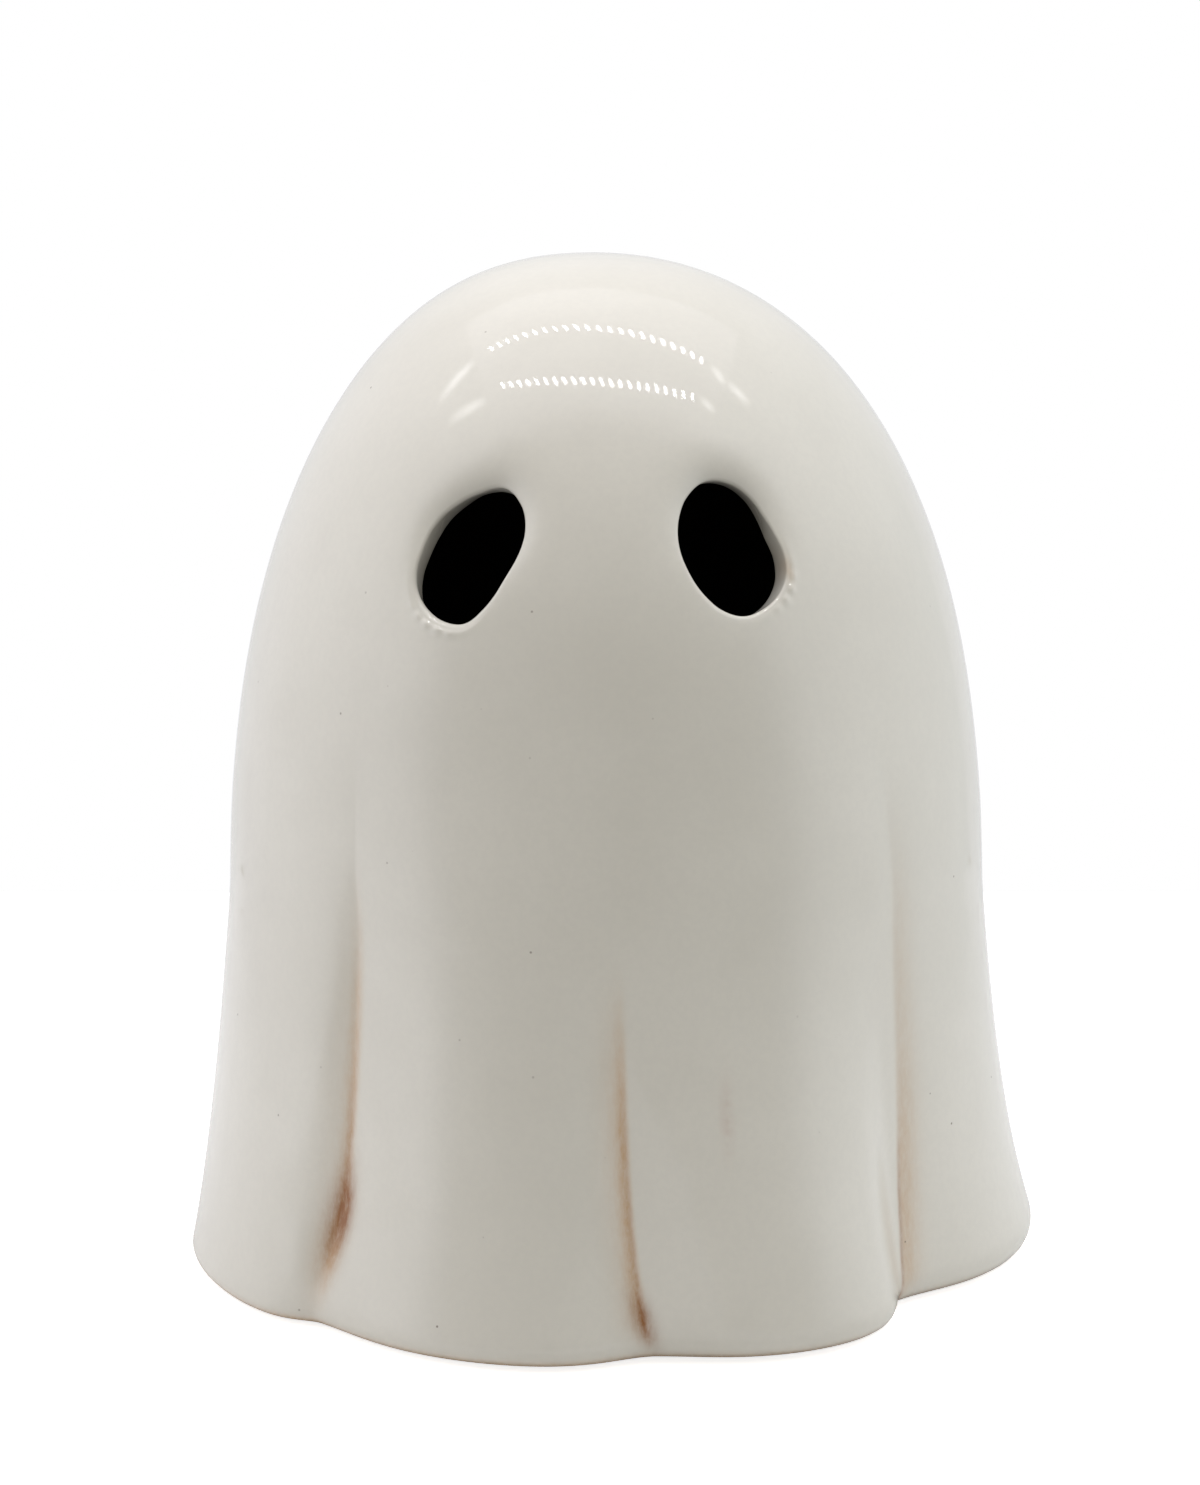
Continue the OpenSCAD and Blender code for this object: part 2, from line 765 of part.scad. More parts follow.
module black_wire() {
    start = tab_end(-1);
    end = pin_end(-1);
    path = curve(start, start - [0, bay_w, 0], end + [0, 0, bay_w / 2], end);
    color("black")
        tube(path, wire_r, wire_sides, [1, 0, 0]);
}

module white_wire() {
    start = pin_end(0);
    edge = board_edge(white_wire_x);
    up = curve(start, start + [0, 0, bay_w / 4], edge - [0, 0, bay_w / 3], edge);
    color("white")
        tube(joined(up, over_edge(white_wire_x)), wire_r, wire_sides, [1, 0, 0]);
}

ghost_shell();
foot_pad(-135);  // foot_pad_front_left
foot_pad(-45);  // foot_pad_front_right
foot_pad(135);  // foot_pad_back_left
foot_pad(45);  // foot_pad_back_right
light_housing();
base_plate();
grip_ring();
housing_screws();
circuit_board();
lamp();
lamp_leads();
resistor();
switch_body();
switch_pins();
switch_slider();
cell(0);  // cell_1
cell(1);  // cell_2
cell(2);  // cell_3
positive_contact();
negative_contact();
battery_door();
door_screw();
red_wire();
black_wire();
white_wire();
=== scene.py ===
import math

import bmesh
import bpy
import numpy as np
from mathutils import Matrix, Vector


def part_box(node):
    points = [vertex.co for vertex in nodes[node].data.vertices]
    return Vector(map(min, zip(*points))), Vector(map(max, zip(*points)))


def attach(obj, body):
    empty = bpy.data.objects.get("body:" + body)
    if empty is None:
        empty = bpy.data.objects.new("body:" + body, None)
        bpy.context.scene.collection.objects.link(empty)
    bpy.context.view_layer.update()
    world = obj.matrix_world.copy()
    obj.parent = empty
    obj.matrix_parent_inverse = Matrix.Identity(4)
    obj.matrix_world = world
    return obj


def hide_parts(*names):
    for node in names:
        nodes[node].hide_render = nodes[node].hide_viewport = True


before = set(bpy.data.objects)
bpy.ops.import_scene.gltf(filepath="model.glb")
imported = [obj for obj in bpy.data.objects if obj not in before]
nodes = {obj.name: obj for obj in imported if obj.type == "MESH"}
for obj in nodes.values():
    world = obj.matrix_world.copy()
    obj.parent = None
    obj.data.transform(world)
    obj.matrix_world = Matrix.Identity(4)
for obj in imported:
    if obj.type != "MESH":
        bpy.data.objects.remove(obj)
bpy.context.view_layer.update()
MM = 0.001

# Ghost shell: its form, from the same named sizes as the part's source, in millimetres
SHELL_H, BODY_R, DOME_START, DOME_POWER = 134.5, 50.0, 51.0, 2.25
BODY_TAPER, HEM_FLARE, FLARE_SIDE = 3.0, 6.1, 0.3
FLARE_REACH, FLARE_REACH_SIDE = 27.0, 0.14
HEM_EDGE_R, HEM_EDGE_SIDE, HEM_Z = 3.2, 0.5, 0.5
TOP_LEAN, LEAN_POWER, WALL = 2.0, 10, 4.5
FOLD_REACH, FOLD_DEPTH, FOLD_WIDTH = 62.0, 9.0, 18.0
FOLD_FADE, FOLD_ROUND, INNER_SPREAD = 1.2, 1.5, 1.2
FLOOR_T, RECESS_DEPTH, FOOT_RING_W, BORE_R = 4.5, 4.0, 3.5, 19.487
# Angle at the hem, angle higher up, depth share, left and right width shares, drift height
FOLDS = [
    (-44, -39.7, 0.38, 0.28, 0.87, 25), (6.5, 1.8, 0.6, 0.55, 0.8, 15), (52, 44.2, 1, 0.55, 0.97, 40),
    (112, 112, 0.55, 0.4, 0.33, 20), (145, 147, 0.55, 0.4, 0.5, 20), (-168, -168, 0.65, 0.5, 0.4, 20),
    (-130, -130, 0.55, 0.45, 0.45, 20), (-98, -97, 0.59, 0.28, 0.28, 20),
]
BACK_FOLDS = FOLDS[3:]


def turn(a, b):
    """Angle a seen from angle b, from -180 to 180."""
    return (a - b + 180.0) % 360.0 - 180.0


def fold_angle(fold, z):
    return fold[1] + (fold[0] - fold[1]) * np.exp(-z / fold[5])


def across(angle, line_angle):
    """Millimetres round the body from a line at an angle."""
    return turn(angle, line_angle) * BODY_R * math.pi / 180


def side_share(angle):
    """-1 on the viewer's left, 0 in front and 1 on the right."""
    return np.sin(np.radians(angle))


def edge_radius(angle):
    """Radius of the rounded hem edge."""
    return HEM_EDGE_R * (1 + HEM_EDGE_SIDE * side_share(angle))


def shell_radius(angle, z, inset=0.0):
    dips = 0.0
    for fold in FOLDS:
        from_fold = across(angle, fold_angle(fold, z))
        width = FOLD_WIDTH * np.where(from_fold < 0, fold[3], fold[4]) + inset * INNER_SPREAD
        dips = dips + fold[2] * FOLD_DEPTH / (1 + (from_fold / width) ** 2) ** FOLD_ROUND
    fade = np.clip(1 - z / FOLD_REACH, 0, 1) ** FOLD_FADE
    share = np.clip((z - DOME_START) / (SHELL_H - inset - DOME_START), 0, 1)
    dome = (1 - share ** DOME_POWER) ** (1 / DOME_POWER)
    taper = BODY_TAPER * np.maximum(0, 1 - z / DOME_START)
    reach = FLARE_REACH * (1 - FLARE_REACH_SIDE * side_share(angle))
    flare = HEM_FLARE * (1 + FLARE_SIDE * side_share(angle)) * np.exp(-z / reach)
    radius = (BODY_R - inset + flare + taper - dips * fade) * dome
    if inset:
        return radius
    edge = edge_radius(angle)
    low = np.clip(edge - z, 0, edge)
    return radius - (edge - np.sqrt(edge ** 2 - low ** 2))


def lean(z):
    return TOP_LEAN * np.clip(z / SHELL_H, 0, 1) ** LEAN_POWER


def place(angle, z, radius):
    """Points at angles in degrees from the front, heights above the hem and radii."""
    a = np.radians(angle)
    return np.stack([radius * np.sin(a) - lean(z), -radius * np.cos(a), z + HEM_Z + 0 * a], -1)


def shell_point(angle, z, inset=0.0):
    return place(angle, z, shell_radius(angle, z, inset))


def angle_and_height(points):
    z = points[..., 2] - HEM_Z
    x = points[..., 0] + lean(z)
    return np.degrees(np.arctan2(x, -points[..., 1])), z, np.hypot(x, points[..., 1])


# Ghost shell: the creases along the bottoms of its front folds, finer than the solid's
RIGHT_LINE_Z = (0, 10, 25, 34, 51, 65, 80)
RIGHT_LINE_ANGLE = (50.3, 51.0, 50.8, 50.0, 48.1, 46.0, 44.5)


def left_line(z):
    return fold_angle(FOLDS[0], z)


def middle_line(z):
    return fold_angle(FOLDS[1], z)


def right_line(z):
    return np.interp(z, RIGHT_LINE_Z, RIGHT_LINE_ANGLE)


def hump(z, low, rise, fall, high):
    """1 between the two middle heights, dying away smoothly to the outer ones."""
    t = np.clip(np.minimum((z - low) / (rise - low), (high - z) / (high - fall)), 0, 1)
    return t * t * (3 - 2 * t)


# Line, depth of its crease, widths of the slopes on its left and right, heights as for hump
CREASES = [
    (left_line, 1.9, 4.5, 9.5, (2.5, 16, 44, 84)),
    (middle_line, 0.35, 1.6, 1.3, (-1, 2, 26, 52)),
    (right_line, 0.5, 3.0, 2.4, (-3, 4, 56, 84)),
]
CREASE_ROUND = 0.45


def skin_radius(angle, z):
    """Radius of the outer face with its creases."""
    radius = shell_radius(angle, z)
    for line, crease_depth, left_w, right_w, heights in CREASES:
        from_line = across(angle, line(z))
        away = np.hypot(from_line, CREASE_ROUND) - CREASE_ROUND
        slopes = np.exp(-away / np.where(from_line < 0, left_w, right_w))
        radius = radius - crease_depth * slopes * hump(z, *heights)
    return radius


# Ghost shell: its grid
# The columns lie closer in the folds. Each crowd is a share more of them and its reach in degrees.
COLS, EYE_COLS = 360, 20
CROWD_TOP, CROWD_SPAN = 84, 22
BACK_CROWD, FRONT_CROWDS = (1.8, 3.2), ((2.2, 3.4), (2.5, 1.0))
# The eyes are built into a block of rows. The other rows are counted by the part of the wall.
BLOCK_LOW, BLOCK_HIGH, BLOCK_ROWS = 85.0, 115.0, 34
DOME_ROWS, SKIRT_ROWS, HEM_ROWS, INNER_SKIRT_ROWS, INNER_DOME_ROWS = 46, 80, 8, 26, 16
# Radii of the small rounded edges below, of the inner corner, and of two more rings in the recess
FOOT_EDGE_R, RECESS_EDGE_R, BORE_EDGE_R, CORNER = 0.8, 1, 0.5, 2.5
RECESS_RINGS = (35, 28)
RECESS_R = min(float(shell_radius(fold[0], 0.0)) for fold in FOLDS) - FOOT_RING_W


def even_levels(low, high, count, inset):
    """Heights from low to high, evenly apart along the wall."""
    share = np.linspace(0, 1, 4001)
    z = low + (high - low) * np.sin(share * math.pi / 2)
    dome = np.clip((z - DOME_START) / (SHELL_H - inset - DOME_START), 0, 1)
    r = BODY_R * (1 - dome ** DOME_POWER) ** (1 / DOME_POWER)
    length = np.concatenate([[0], np.cumsum(np.hypot(np.diff(z), np.diff(r)))])
    return np.interp(np.linspace(0, length[-1], count + 1), length, z)


def column_angles(z):
    """Angles of the columns at a height: close together in the folds, even higher up."""
    fine = np.linspace(-180, 180, 3601)
    pull = min(max((CROWD_TOP - z) / CROWD_SPAN, 0), 1)
    density = np.ones_like(fine)
    crowds = [(fold_angle(fold, z), BACK_CROWD) for fold in BACK_FOLDS]
    crowds += [(crease[0](z), crowd) for crease in CREASES for crowd in FRONT_CROWDS]
    for middle, (more, reach) in crowds:
        density += more * pull * np.exp(-(turn(fine, middle) / reach) ** 2 / 2)
    total = np.concatenate([[0], np.cumsum((density[1:] + density[:-1]) / 2)])
    return np.interp(np.arange(COLS) / COLS * total[-1], total, fine)


# Angles, heights, radii and mark of each ring of the closed profile
rings = []
MARK_OUTER, MARK_FOOT, MARK_INNER = 0, 1, 2


def quarter(steps):
    """Sines and cosines at even steps through a quarter turn."""
    turns = [math.radians(90 * k / steps) for k in range(steps + 1)]
    return [(math.sin(a), math.cos(a)) for a in turns]


hem_angles = column_angles(0.0)


def add_ring(z, radius, mark, angles=hem_angles):
    rings.append((angles, z + 0 * angles, radius + 0 * angles, mark))


def add_skin_ring(level):
    """A ring of the outer face. Levels start where the hem's rounded edge ends."""
    angles = column_angles(level)
    low = edge_radius(angles)
    climb = (level - HEM_EDGE_R) * (BLOCK_LOW - low) / (BLOCK_LOW - HEM_EDGE_R)
    z = np.where(level < BLOCK_LOW, low + climb, level)
    add_ring(z, skin_radius(angles, z), MARK_OUTER, angles)


def add_inner_ring(z):
    angles = column_angles(z)
    add_ring(z, shell_radius(angles, z, WALL), MARK_INNER, angles)


# Outside, from the top down to the hem
for z in even_levels(BLOCK_HIGH, SHELL_H, DOME_ROWS, 0)[::-1][1:]:
    add_skin_ring(z)
outer_block = len(rings) - 1
for z in even_levels(BLOCK_LOW, BLOCK_HIGH, BLOCK_ROWS, 0)[::-1][1:]:
    add_skin_ring(z)
for z in even_levels(HEM_EDGE_R, BLOCK_LOW, SKIRT_ROWS, 0)[::-1][1:]:
    add_skin_ring(z)
for k in range(1, HEM_ROWS + 1):
    z = edge_radius(hem_angles) * (1 - math.sin(math.pi / 2 * k / HEM_ROWS))
    add_ring(z, skin_radius(hem_angles, z), MARK_OUTER)
# The foot ring, the recess, the floor and its hole
hem_radius = skin_radius(hem_angles, 0.0)
for share in (0.45, 0.9):
    add_ring(0.0, hem_radius + (RECESS_R + FOOT_EDGE_R - hem_radius) * share, MARK_FOOT)
for s, c in quarter(2):
    add_ring(FOOT_EDGE_R * (1 - c), RECESS_R + FOOT_EDGE_R * (1 - s), MARK_FOOT)
for s, c in quarter(3):
    add_ring(RECESS_DEPTH - RECESS_EDGE_R * (1 - s), RECESS_R - RECESS_EDGE_R * (1 - c), MARK_FOOT)
for radius in RECESS_RINGS:
    add_ring(RECESS_DEPTH, radius, MARK_FOOT)
for s, c in quarter(2):
    add_ring(RECESS_DEPTH + BORE_EDGE_R * (1 - c), BORE_R + BORE_EDGE_R * (1 - s), MARK_FOOT)
floor_top = RECESS_DEPTH + FLOOR_T
for s, c in quarter(2):
    add_ring(floor_top - BORE_EDGE_R * (1 - s), BORE_R + BORE_EDGE_R * (1 - c), MARK_INNER)
corner_radius = shell_radius(hem_angles, floor_top + CORNER, WALL)
for share in (0.3, 0.65):
    add_ring(floor_top, BORE_R + (corner_radius - BORE_R) * share, MARK_INNER)
for s, c in quarter(3):
    add_ring(floor_top + CORNER * (1 - c), corner_radius - CORNER * (1 - s), MARK_INNER)
# Inside, from the floor up to the top
for z in even_levels(floor_top + CORNER, BLOCK_LOW, INNER_SKIRT_ROWS, WALL)[1:]:
    add_inner_ring(z)
inner_block = len(rings) - 1
for z in even_levels(BLOCK_LOW, BLOCK_HIGH, BLOCK_ROWS, WALL)[1:]:
    add_inner_ring(z)
for z in even_levels(BLOCK_HIGH, SHELL_H - WALL, INNER_DOME_ROWS, WALL)[1:-1]:
    add_inner_ring(z)

ROWS = len(rings)
*grids, ring_marks = (np.array(values) for values in zip(*rings))
points = [place(*grids).reshape(-1, 3)]
marks = [np.repeat(ring_marks, COLS)]
# The inner face gets painted shade, near black, for the unlit hollow seen through the eyes
painted_shade = [np.where(marks[0] == MARK_INNER, 1.0, 0.0)]
faces = []


def vertex(row, col):
    return row * COLS + col % COLS


def add_points(new, dark, mark):
    """Adds a ring of vertices and gives back their indices."""
    first = sum(len(ring) for ring in points)
    points.append(new)
    painted_shade.append(np.zeros(len(new)) + dark)
    marks.append(np.zeros(len(new)) + mark)
    return np.arange(first, first + len(new))


def ring_quads(ring_a, ring_b):
    """Quads between two closed rings with as many vertices."""
    n = len(ring_a)
    return [(ring_a[k], ring_a[(k + 1) % n], ring_b[(k + 1) % n], ring_b[k]) for k in range(n)]


# Ghost shell: its eyes. Each was cut by hand. Its rows give, for even angles from -180 round the eye
# from its own sideways axis, the radius of the hole at the outer face, its radius at the inner face
# and the radius of the soft edge, in millimetres. The face dips deepest and the painted shade is
# darkest at the shade angle, and the glaze has a row of small drops round the drop angle.
EYES = [
    dict(angle=-24, z=100.5, lean=-26, shade=130, drops=-88,
         mouth=(7.05, 7.05, 7.6, 8.1, 8.3, 8.35, 8.1, 6.8, 5.9,
                5.5, 5.75, 6.6, 7.9, 9.2, 9.9, 8.6, 7.7, 7.3),
         back=(7.3, 7.5, 8.3, 9.1, 9.1, 8.85, 8.25, 6.75, 5.9,
               5.5, 5.75, 6.6, 7.85, 9.1, 9.8, 9.4, 8.3, 7.7),
         edge=(0.5, 0.45, 0.5, 0.7, 0.9, 0.9, 0.85, 0.75, 0.7,
               0.6, 0.55, 0.55, 0.6, 0.7, 0.7, 0.65, 0.6, 0.55)),
    dict(angle=21.5, z=101.5, lean=17, shade=58, drops=-50,
         mouth=(5.9, 6.05, 6.6, 7.5, 8.3, 8.4, 8.5, 8.4, 7.8,
                7.25, 7.35, 8.2, 9.1, 9.4, 8.5, 7.4, 6.6, 6.1),
         back=(5.8, 5.9, 6.6, 7.45, 8.05, 8.3, 8.3, 8.2, 7.8,
               7.35, 7.9, 9.0, 9.8, 9.7, 8.5, 7.4, 6.5, 5.95),
         edge=(0.5, 0.7, 0.8, 0.85, 0.7, 0.6, 0.5, 0.4, 0.35,
               0.35, 0.45, 0.55, 0.6, 0.6, 0.6, 0.55, 0.5, 0.5)),
]
# The face dips towards an eye. Depth and reach of the dip, on the bright side and in shade.
DISH, DISH_REACH = (0.1, 0.9), (1.2, 2.6)
# Height of the drops of glaze, degrees that they spread over, and how far they lie from the edge
DROP_H, DROP_SPAN, DROP_AT = 0.3, 20.0, 0.5
# The drops' least height, how much they vary and how fast, as shares
DROP_LOW, DROP_WAVE, DROP_BEAT = 0.55, 0.45, 0.6
# Height, spread and width of the lip that they sit on
LIP_H, LIP_SPAN, LIP_W = 0.1, 45.0, 0.5
# Rings on the face, round the edge, through the wall, round the inner edge and on the inner face
FACE_STEPS, EDGE_STEPS, WALL_STEPS, BACK_STEPS, INNER_STEPS = 16, 7, 6, 3, 6
FACE_CROWD, BACK_EDGE = 1.35, 0.6
# Painted shade round an eye: on the face with its reach, at the edge, at the hole and inside it
FACE_DIM, DIM_REACH, EDGE_DIM, HOLE_DIM = 0.2, 1.6, 0.2, 0.4
EDGE_POWER, WALL_DIM, WALL_POWER = 1.5, 0.2, 0.8
# The search for the wall, from this far inside to this far outside an eye's plane
SEARCH_IN, SEARCH_OUT, SEARCH_STEPS = 16.0, 8.0, 48


def smooth_loop(radii, at):
    """A smooth closed curve through radii at even angles from -180, read at angles in degrees."""
    radii = np.array(radii)
    n = len(radii)
    where = (np.asarray(at) + 180) / 360 * n
    k = np.floor(where).astype(int)
    t = where - k
    a, b, c, d = (radii[(k + shift) % n] for shift in (-1, 0, 1, 2))
    return (b + t * (c - a) / 2 + t ** 2 * (a - 2.5 * b + 2 * c - d / 2)
            + t ** 3 * (1.5 * (b - c) + (d - a) / 2))


def along_normal(origin, direction, inset):
    """Where lines from the origins along the direction meet the outer or the inner face."""
    low = np.full(len(origin), -SEARCH_IN)
    high = np.full(len(origin), SEARCH_OUT)
    for _ in range(SEARCH_STEPS):
        middle = (low + high) / 2
        angle, z, r = angle_and_height(origin + middle[:, None] * direction)
        outside = r > shell_radius(angle, np.clip(z, 0, SHELL_H - inset - 0.01), inset)
        high = np.where(outside, middle, high)
        low = np.where(outside, low, middle)
    return origin + low[:, None] * direction


def build_eye(eye):
    azimuth = math.radians(eye["angle"])
    face_slope = (shell_radius(0.0, eye["z"] - WALL) - shell_radius(0.0, eye["z"] + WALL)) / (2 * WALL)
    rise = math.atan(face_slope)
    centre = shell_point(np.array(float(eye["angle"])), np.array(float(eye["z"])))
    level = math.cos(rise)
    normal = np.array([math.sin(azimuth) * level, -math.cos(azimuth) * level, math.sin(rise)])
    flat = np.array([math.cos(azimuth), math.sin(azimuth), 0.0])
    upright = np.cross(normal, flat)
    tilt = math.radians(eye["lean"])
    axis_x = flat * math.cos(tilt) + upright * math.sin(tilt)
    axis_y = -flat * math.sin(tilt) + upright * math.cos(tilt)

    middle_col = COLS // 2 + int(round(eye["angle"]))
    left, right = middle_col - EYE_COLS, middle_col + EYE_COLS

    def block_loop(top_row, inner):
        """The block's border, anticlockwise seen from outside."""
        rows = [top_row + k for k in range(BLOCK_ROWS + 1)]
        low_row, high_row = (rows[0], rows[-1]) if inner else (rows[-1], rows[0])
        step = 1 if inner else -1
        loop = [(low_row, c) for c in range(left, right)]
        loop += [(low_row + step * k, right) for k in range(BLOCK_ROWS)]
        loop += [(high_row, c) for c in range(right, left, -1)]
        loop += [(high_row - step * k, left) for k in range(BLOCK_ROWS)]
        return np.array([vertex(r, c) for r, c in loop])

    outer_loop = block_loop(outer_block, False)
    inner_loop = block_loop(inner_block, True)
    base = points[0]
    offset = base[outer_loop] - centre
    phi = np.degrees(np.arctan2(offset @ axis_y, offset @ axis_x))

    def outline(table):
        radius = smooth_loop(eye[table], phi)
        return np.stack([radius * np.cos(np.radians(phi)), radius * np.sin(np.radians(phi))], -1)

    def on_plane(uv):
        return centre + uv[:, :1] * axis_x + uv[:, 1:] * axis_y

    from_shade = np.cos(np.radians(phi - eye["shade"]))
    dish, dish_reach = (low + (high - low) * (0.5 + 0.5 * from_shade) for low, high in (DISH, DISH_REACH))
    # Strength of the painted shade round the eye, full at the shade angle
    shade = np.maximum(from_shade, 0) ** 3
    from_drops = turn(phi, eye["drops"])
    drops = DROP_H * np.exp(-(from_drops / DROP_SPAN) ** 2) * (DROP_LOW + DROP_WAVE * np.sin(phi * DROP_BEAT))
    lip = drops + LIP_H * np.exp(-(from_drops / LIP_SPAN) ** 2)
    mouth, back = outline("mouth"), outline("back")
    edge = smooth_loop(eye["edge"], phi)
    tangent = np.roll(mouth, -1, 0) - np.roll(mouth, 1, 0)
    outward = np.stack([tangent[:, 1], -tangent[:, 0]], -1)
    outward /= np.linalg.norm(outward, axis=1)[:, None]

    def join(before, ring, dark, mark):
        ring = add_points(ring, dark, mark)
        faces.extend(ring_quads(before, ring))
        return ring

    # From the block's border in to the start of the soft edge, on the outer face
    start_points = along_normal(on_plane(mouth + outward * edge[:, None]), normal, 0.0)
    a0, z0, _ = angle_and_height(base[outer_loop])
    a1, z1, _ = angle_and_height(start_points)
    reach = np.linalg.norm(base[outer_loop] - start_points, axis=1)
    before = outer_loop
    for k in range(1, FACE_STEPS):
        share = 1 - (1 - k / FACE_STEPS) ** FACE_CROWD
        ring = shell_point(a0 + (a1 - a0) * share, z0 + (z1 - z0) * share)
        away = (1 - share) * reach
        sunk = dish * np.exp(-away / dish_reach) * (1 - (1 - share) ** 2) ** 2
        sunk = sunk - lip * np.exp(-((away - DROP_AT) / LIP_W) ** 2)
        # Painted shade on the face near the edge, on the side in shade
        dim = FACE_DIM * shade * np.exp(-away / DIM_REACH)
        before = join(before, ring - normal * sunk[:, None], dim, MARK_OUTER)
    # Round the soft edge into the hole, from the dip's own slope
    slope = np.arctan(dish / dish_reach)
    for k in range(EDGE_STEPS + 1):
        share = k / EDGE_STEPS
        a = slope + (math.pi / 2 - slope) * share
        uv = mouth + outward * (edge * (1 - np.sin(a)) / (1 - np.sin(slope)))[:, None]
        deep = dish + edge * (np.cos(slope) - np.cos(a))
        ring = along_normal(on_plane(uv), normal, 0.0) - normal * deep[:, None]
        # Painted shade, deepening round the edge
        before = join(before, ring, shade * (FACE_DIM + EDGE_DIM * share ** EDGE_POWER), MARK_OUTER)
    # Through the wall to the inner face
    wall_start = points[-1]
    wall_end = along_normal(on_plane(back), normal, WALL)
    wall_end = wall_end + (wall_start - wall_end) * (BACK_EDGE / WALL)
    for k in range(1, WALL_STEPS + 1):
        share = k / WALL_STEPS
        ring = wall_start + (wall_end - wall_start) * share
        # Painted shade down the hole, darker deeper in
        dark = HOLE_DIM * shade + share ** WALL_POWER * WALL_DIM * (1 + shade)
        before = join(before, ring, dark, MARK_OUTER)
    grow = outward[:, :1] * axis_x + outward[:, 1:] * axis_y
    # The hole's inner edge and the inner face get the full painted shade
    for s, c in quarter(BACK_STEPS)[1:]:
        ring = wall_end + grow * BACK_EDGE * (1 - c) - normal * BACK_EDGE * s
        before = join(before, ring, 1.0, MARK_INNER)
    # Over the inner face out to the block's border there
    a1, z1, _ = angle_and_height(points[-1])
    a0, z0, _ = angle_and_height(base[inner_loop])
    for k in range(1, INNER_STEPS):
        share = k / INNER_STEPS
        ring = shell_point(a1 + (a0 - a1) * share, z1 + (z0 - z1) * share, WALL)
        before = join(before, ring, 1.0, MARK_INNER)
    faces.extend(ring_quads(before, inner_loop))
    return left, right


spans = [build_eye(eye) for eye in EYES]


def in_block(row, col):
    rows_hit = (outer_block <= row < outer_block + BLOCK_ROWS
                or inner_block <= row < inner_block + BLOCK_ROWS)
    return rows_hit and any(left <= col < right for left, right in spans)


for row in range(ROWS - 1):
    for col in range(COLS):
        if not in_block(row, col):
            faces.append((vertex(row, col), vertex(row, col + 1), vertex(row + 1, col + 1),
                          vertex(row + 1, col)))
# Poles close the top, the inner one with full painted shade
for row, z in ((0, SHELL_H), (ROWS - 1, SHELL_H - WALL)):
    mark = MARK_OUTER if row == 0 else MARK_INNER
    pole = add_points(np.array([[-lean(z), 0.0, z + HEM_Z]]), float(row > 0), mark)[0]
    for col in range(COLS):
        faces.append((vertex(row, col), vertex(row, col + 1), pole))

points = np.concatenate(points)
painted_shade = np.concatenate(painted_shade)
marks = np.concatenate(marks)


# Wavelengths of the glaze's soft unevenness, its depth, and how far it fades at the top and the hem
RIPPLE_WAVES, RIPPLE_EACH, RIPPLE_SEED = (34.0, 27.0, 21.0, 17.0, 13.0, 11.0), 2, 11
RIPPLE_SHARE, RIPPLE_LIMIT = 1 / 20, 3.2
RIPPLE_DEPTH, RIPPLE_TOP, RIPPLE_HEM = 0.05, 12, 6


def ripple(p):
    """Soft unevenness of the glaze, from 0 to 1."""
    rng = np.random.default_rng(RIPPLE_SEED)
    total = np.zeros(len(p))
    for wave in RIPPLE_WAVES:
        for _ in range(RIPPLE_EACH):
            d = rng.normal(size=3)
            d /= np.linalg.norm(d)
            total += np.sin(p @ d * 2 * math.pi / wave + rng.uniform(0, 2 * math.pi)) * wave * RIPPLE_SHARE
    return 0.5 + 0.5 * np.tanh(total / RIPPLE_LIMIT)


# Ghost shell: stains along the creases and round the hem, with painted shade and shadow at the right crease
def smear(distance, left, right):
    """1 on a line, dying away over the two widths, in millimetres."""
    width = np.where(distance < 0, left, right)
    return np.exp(-(distance / width) ** 2)


def spot(distance, z, middle, height, width, slant=0.0):
    """A soft oval on a line, its lower end to the left if the slant is above 0."""
    up = (z - middle) / height
    return np.exp(-((distance - slant * (z - middle)) / width) ** 2 - up ** 2)


angle_of, z, _ = angle_and_height(points)
from_left = across(angle_of, left_line(z))
from_middle = across(angle_of, middle_line(z))
from_right = across(angle_of, right_line(z))
# Strength, distances from the line, how far the mark lies to its right, widths, heights as for hump
TAN_SMEARS = [
    (0.66, from_left, 0.0, (0.95, 0.9), (1, 14, 30, 64)),
    (0.14, from_left, -1.0, (2.8, 1.4), (2, 20, 30, 68)),
    (0.62, from_middle, 0.1, (1.1, 0.45), (1, 6, 28, 52)),
    (0.32, from_middle, -0.4, (2.4, 0.6), (1, 6, 30, 54)),
    # Painted shade: a tan band on the flank right of the right crease
    (0.32, from_right, 0.8, (0.9, 2.6), (0, 6, 30, 74)),
    (0.30, from_right, 0.3, (0.5, 2.2), (0, 4, 16, 38)),
]
BROWN_SMEARS = [
    (0.32, from_left, 0.0, (0.5, 0.5), (12, 18, 22, 42)),
    (0.25, from_middle, 0.0, (0.5, 0.35), (1, 5, 16, 40)),
    # Painted shadow: a thin brown line down the right crease, where the lobe on its left overlaps
    (0.50, from_right, 0.0, (0.3, 0.3), (1, 4, 12, 30)),
]
for fold in BACK_FOLDS:
    from_fold = across(angle_of, fold_angle(fold, z))
    TAN_SMEARS.append((0.45, from_fold, 0.0, (1.2, 1.5), (1, 8, 20, 50)))
    BROWN_SMEARS.append((0.5, from_fold, 0.0, (0.6, 0.6), (2, 8, 12, 26)))
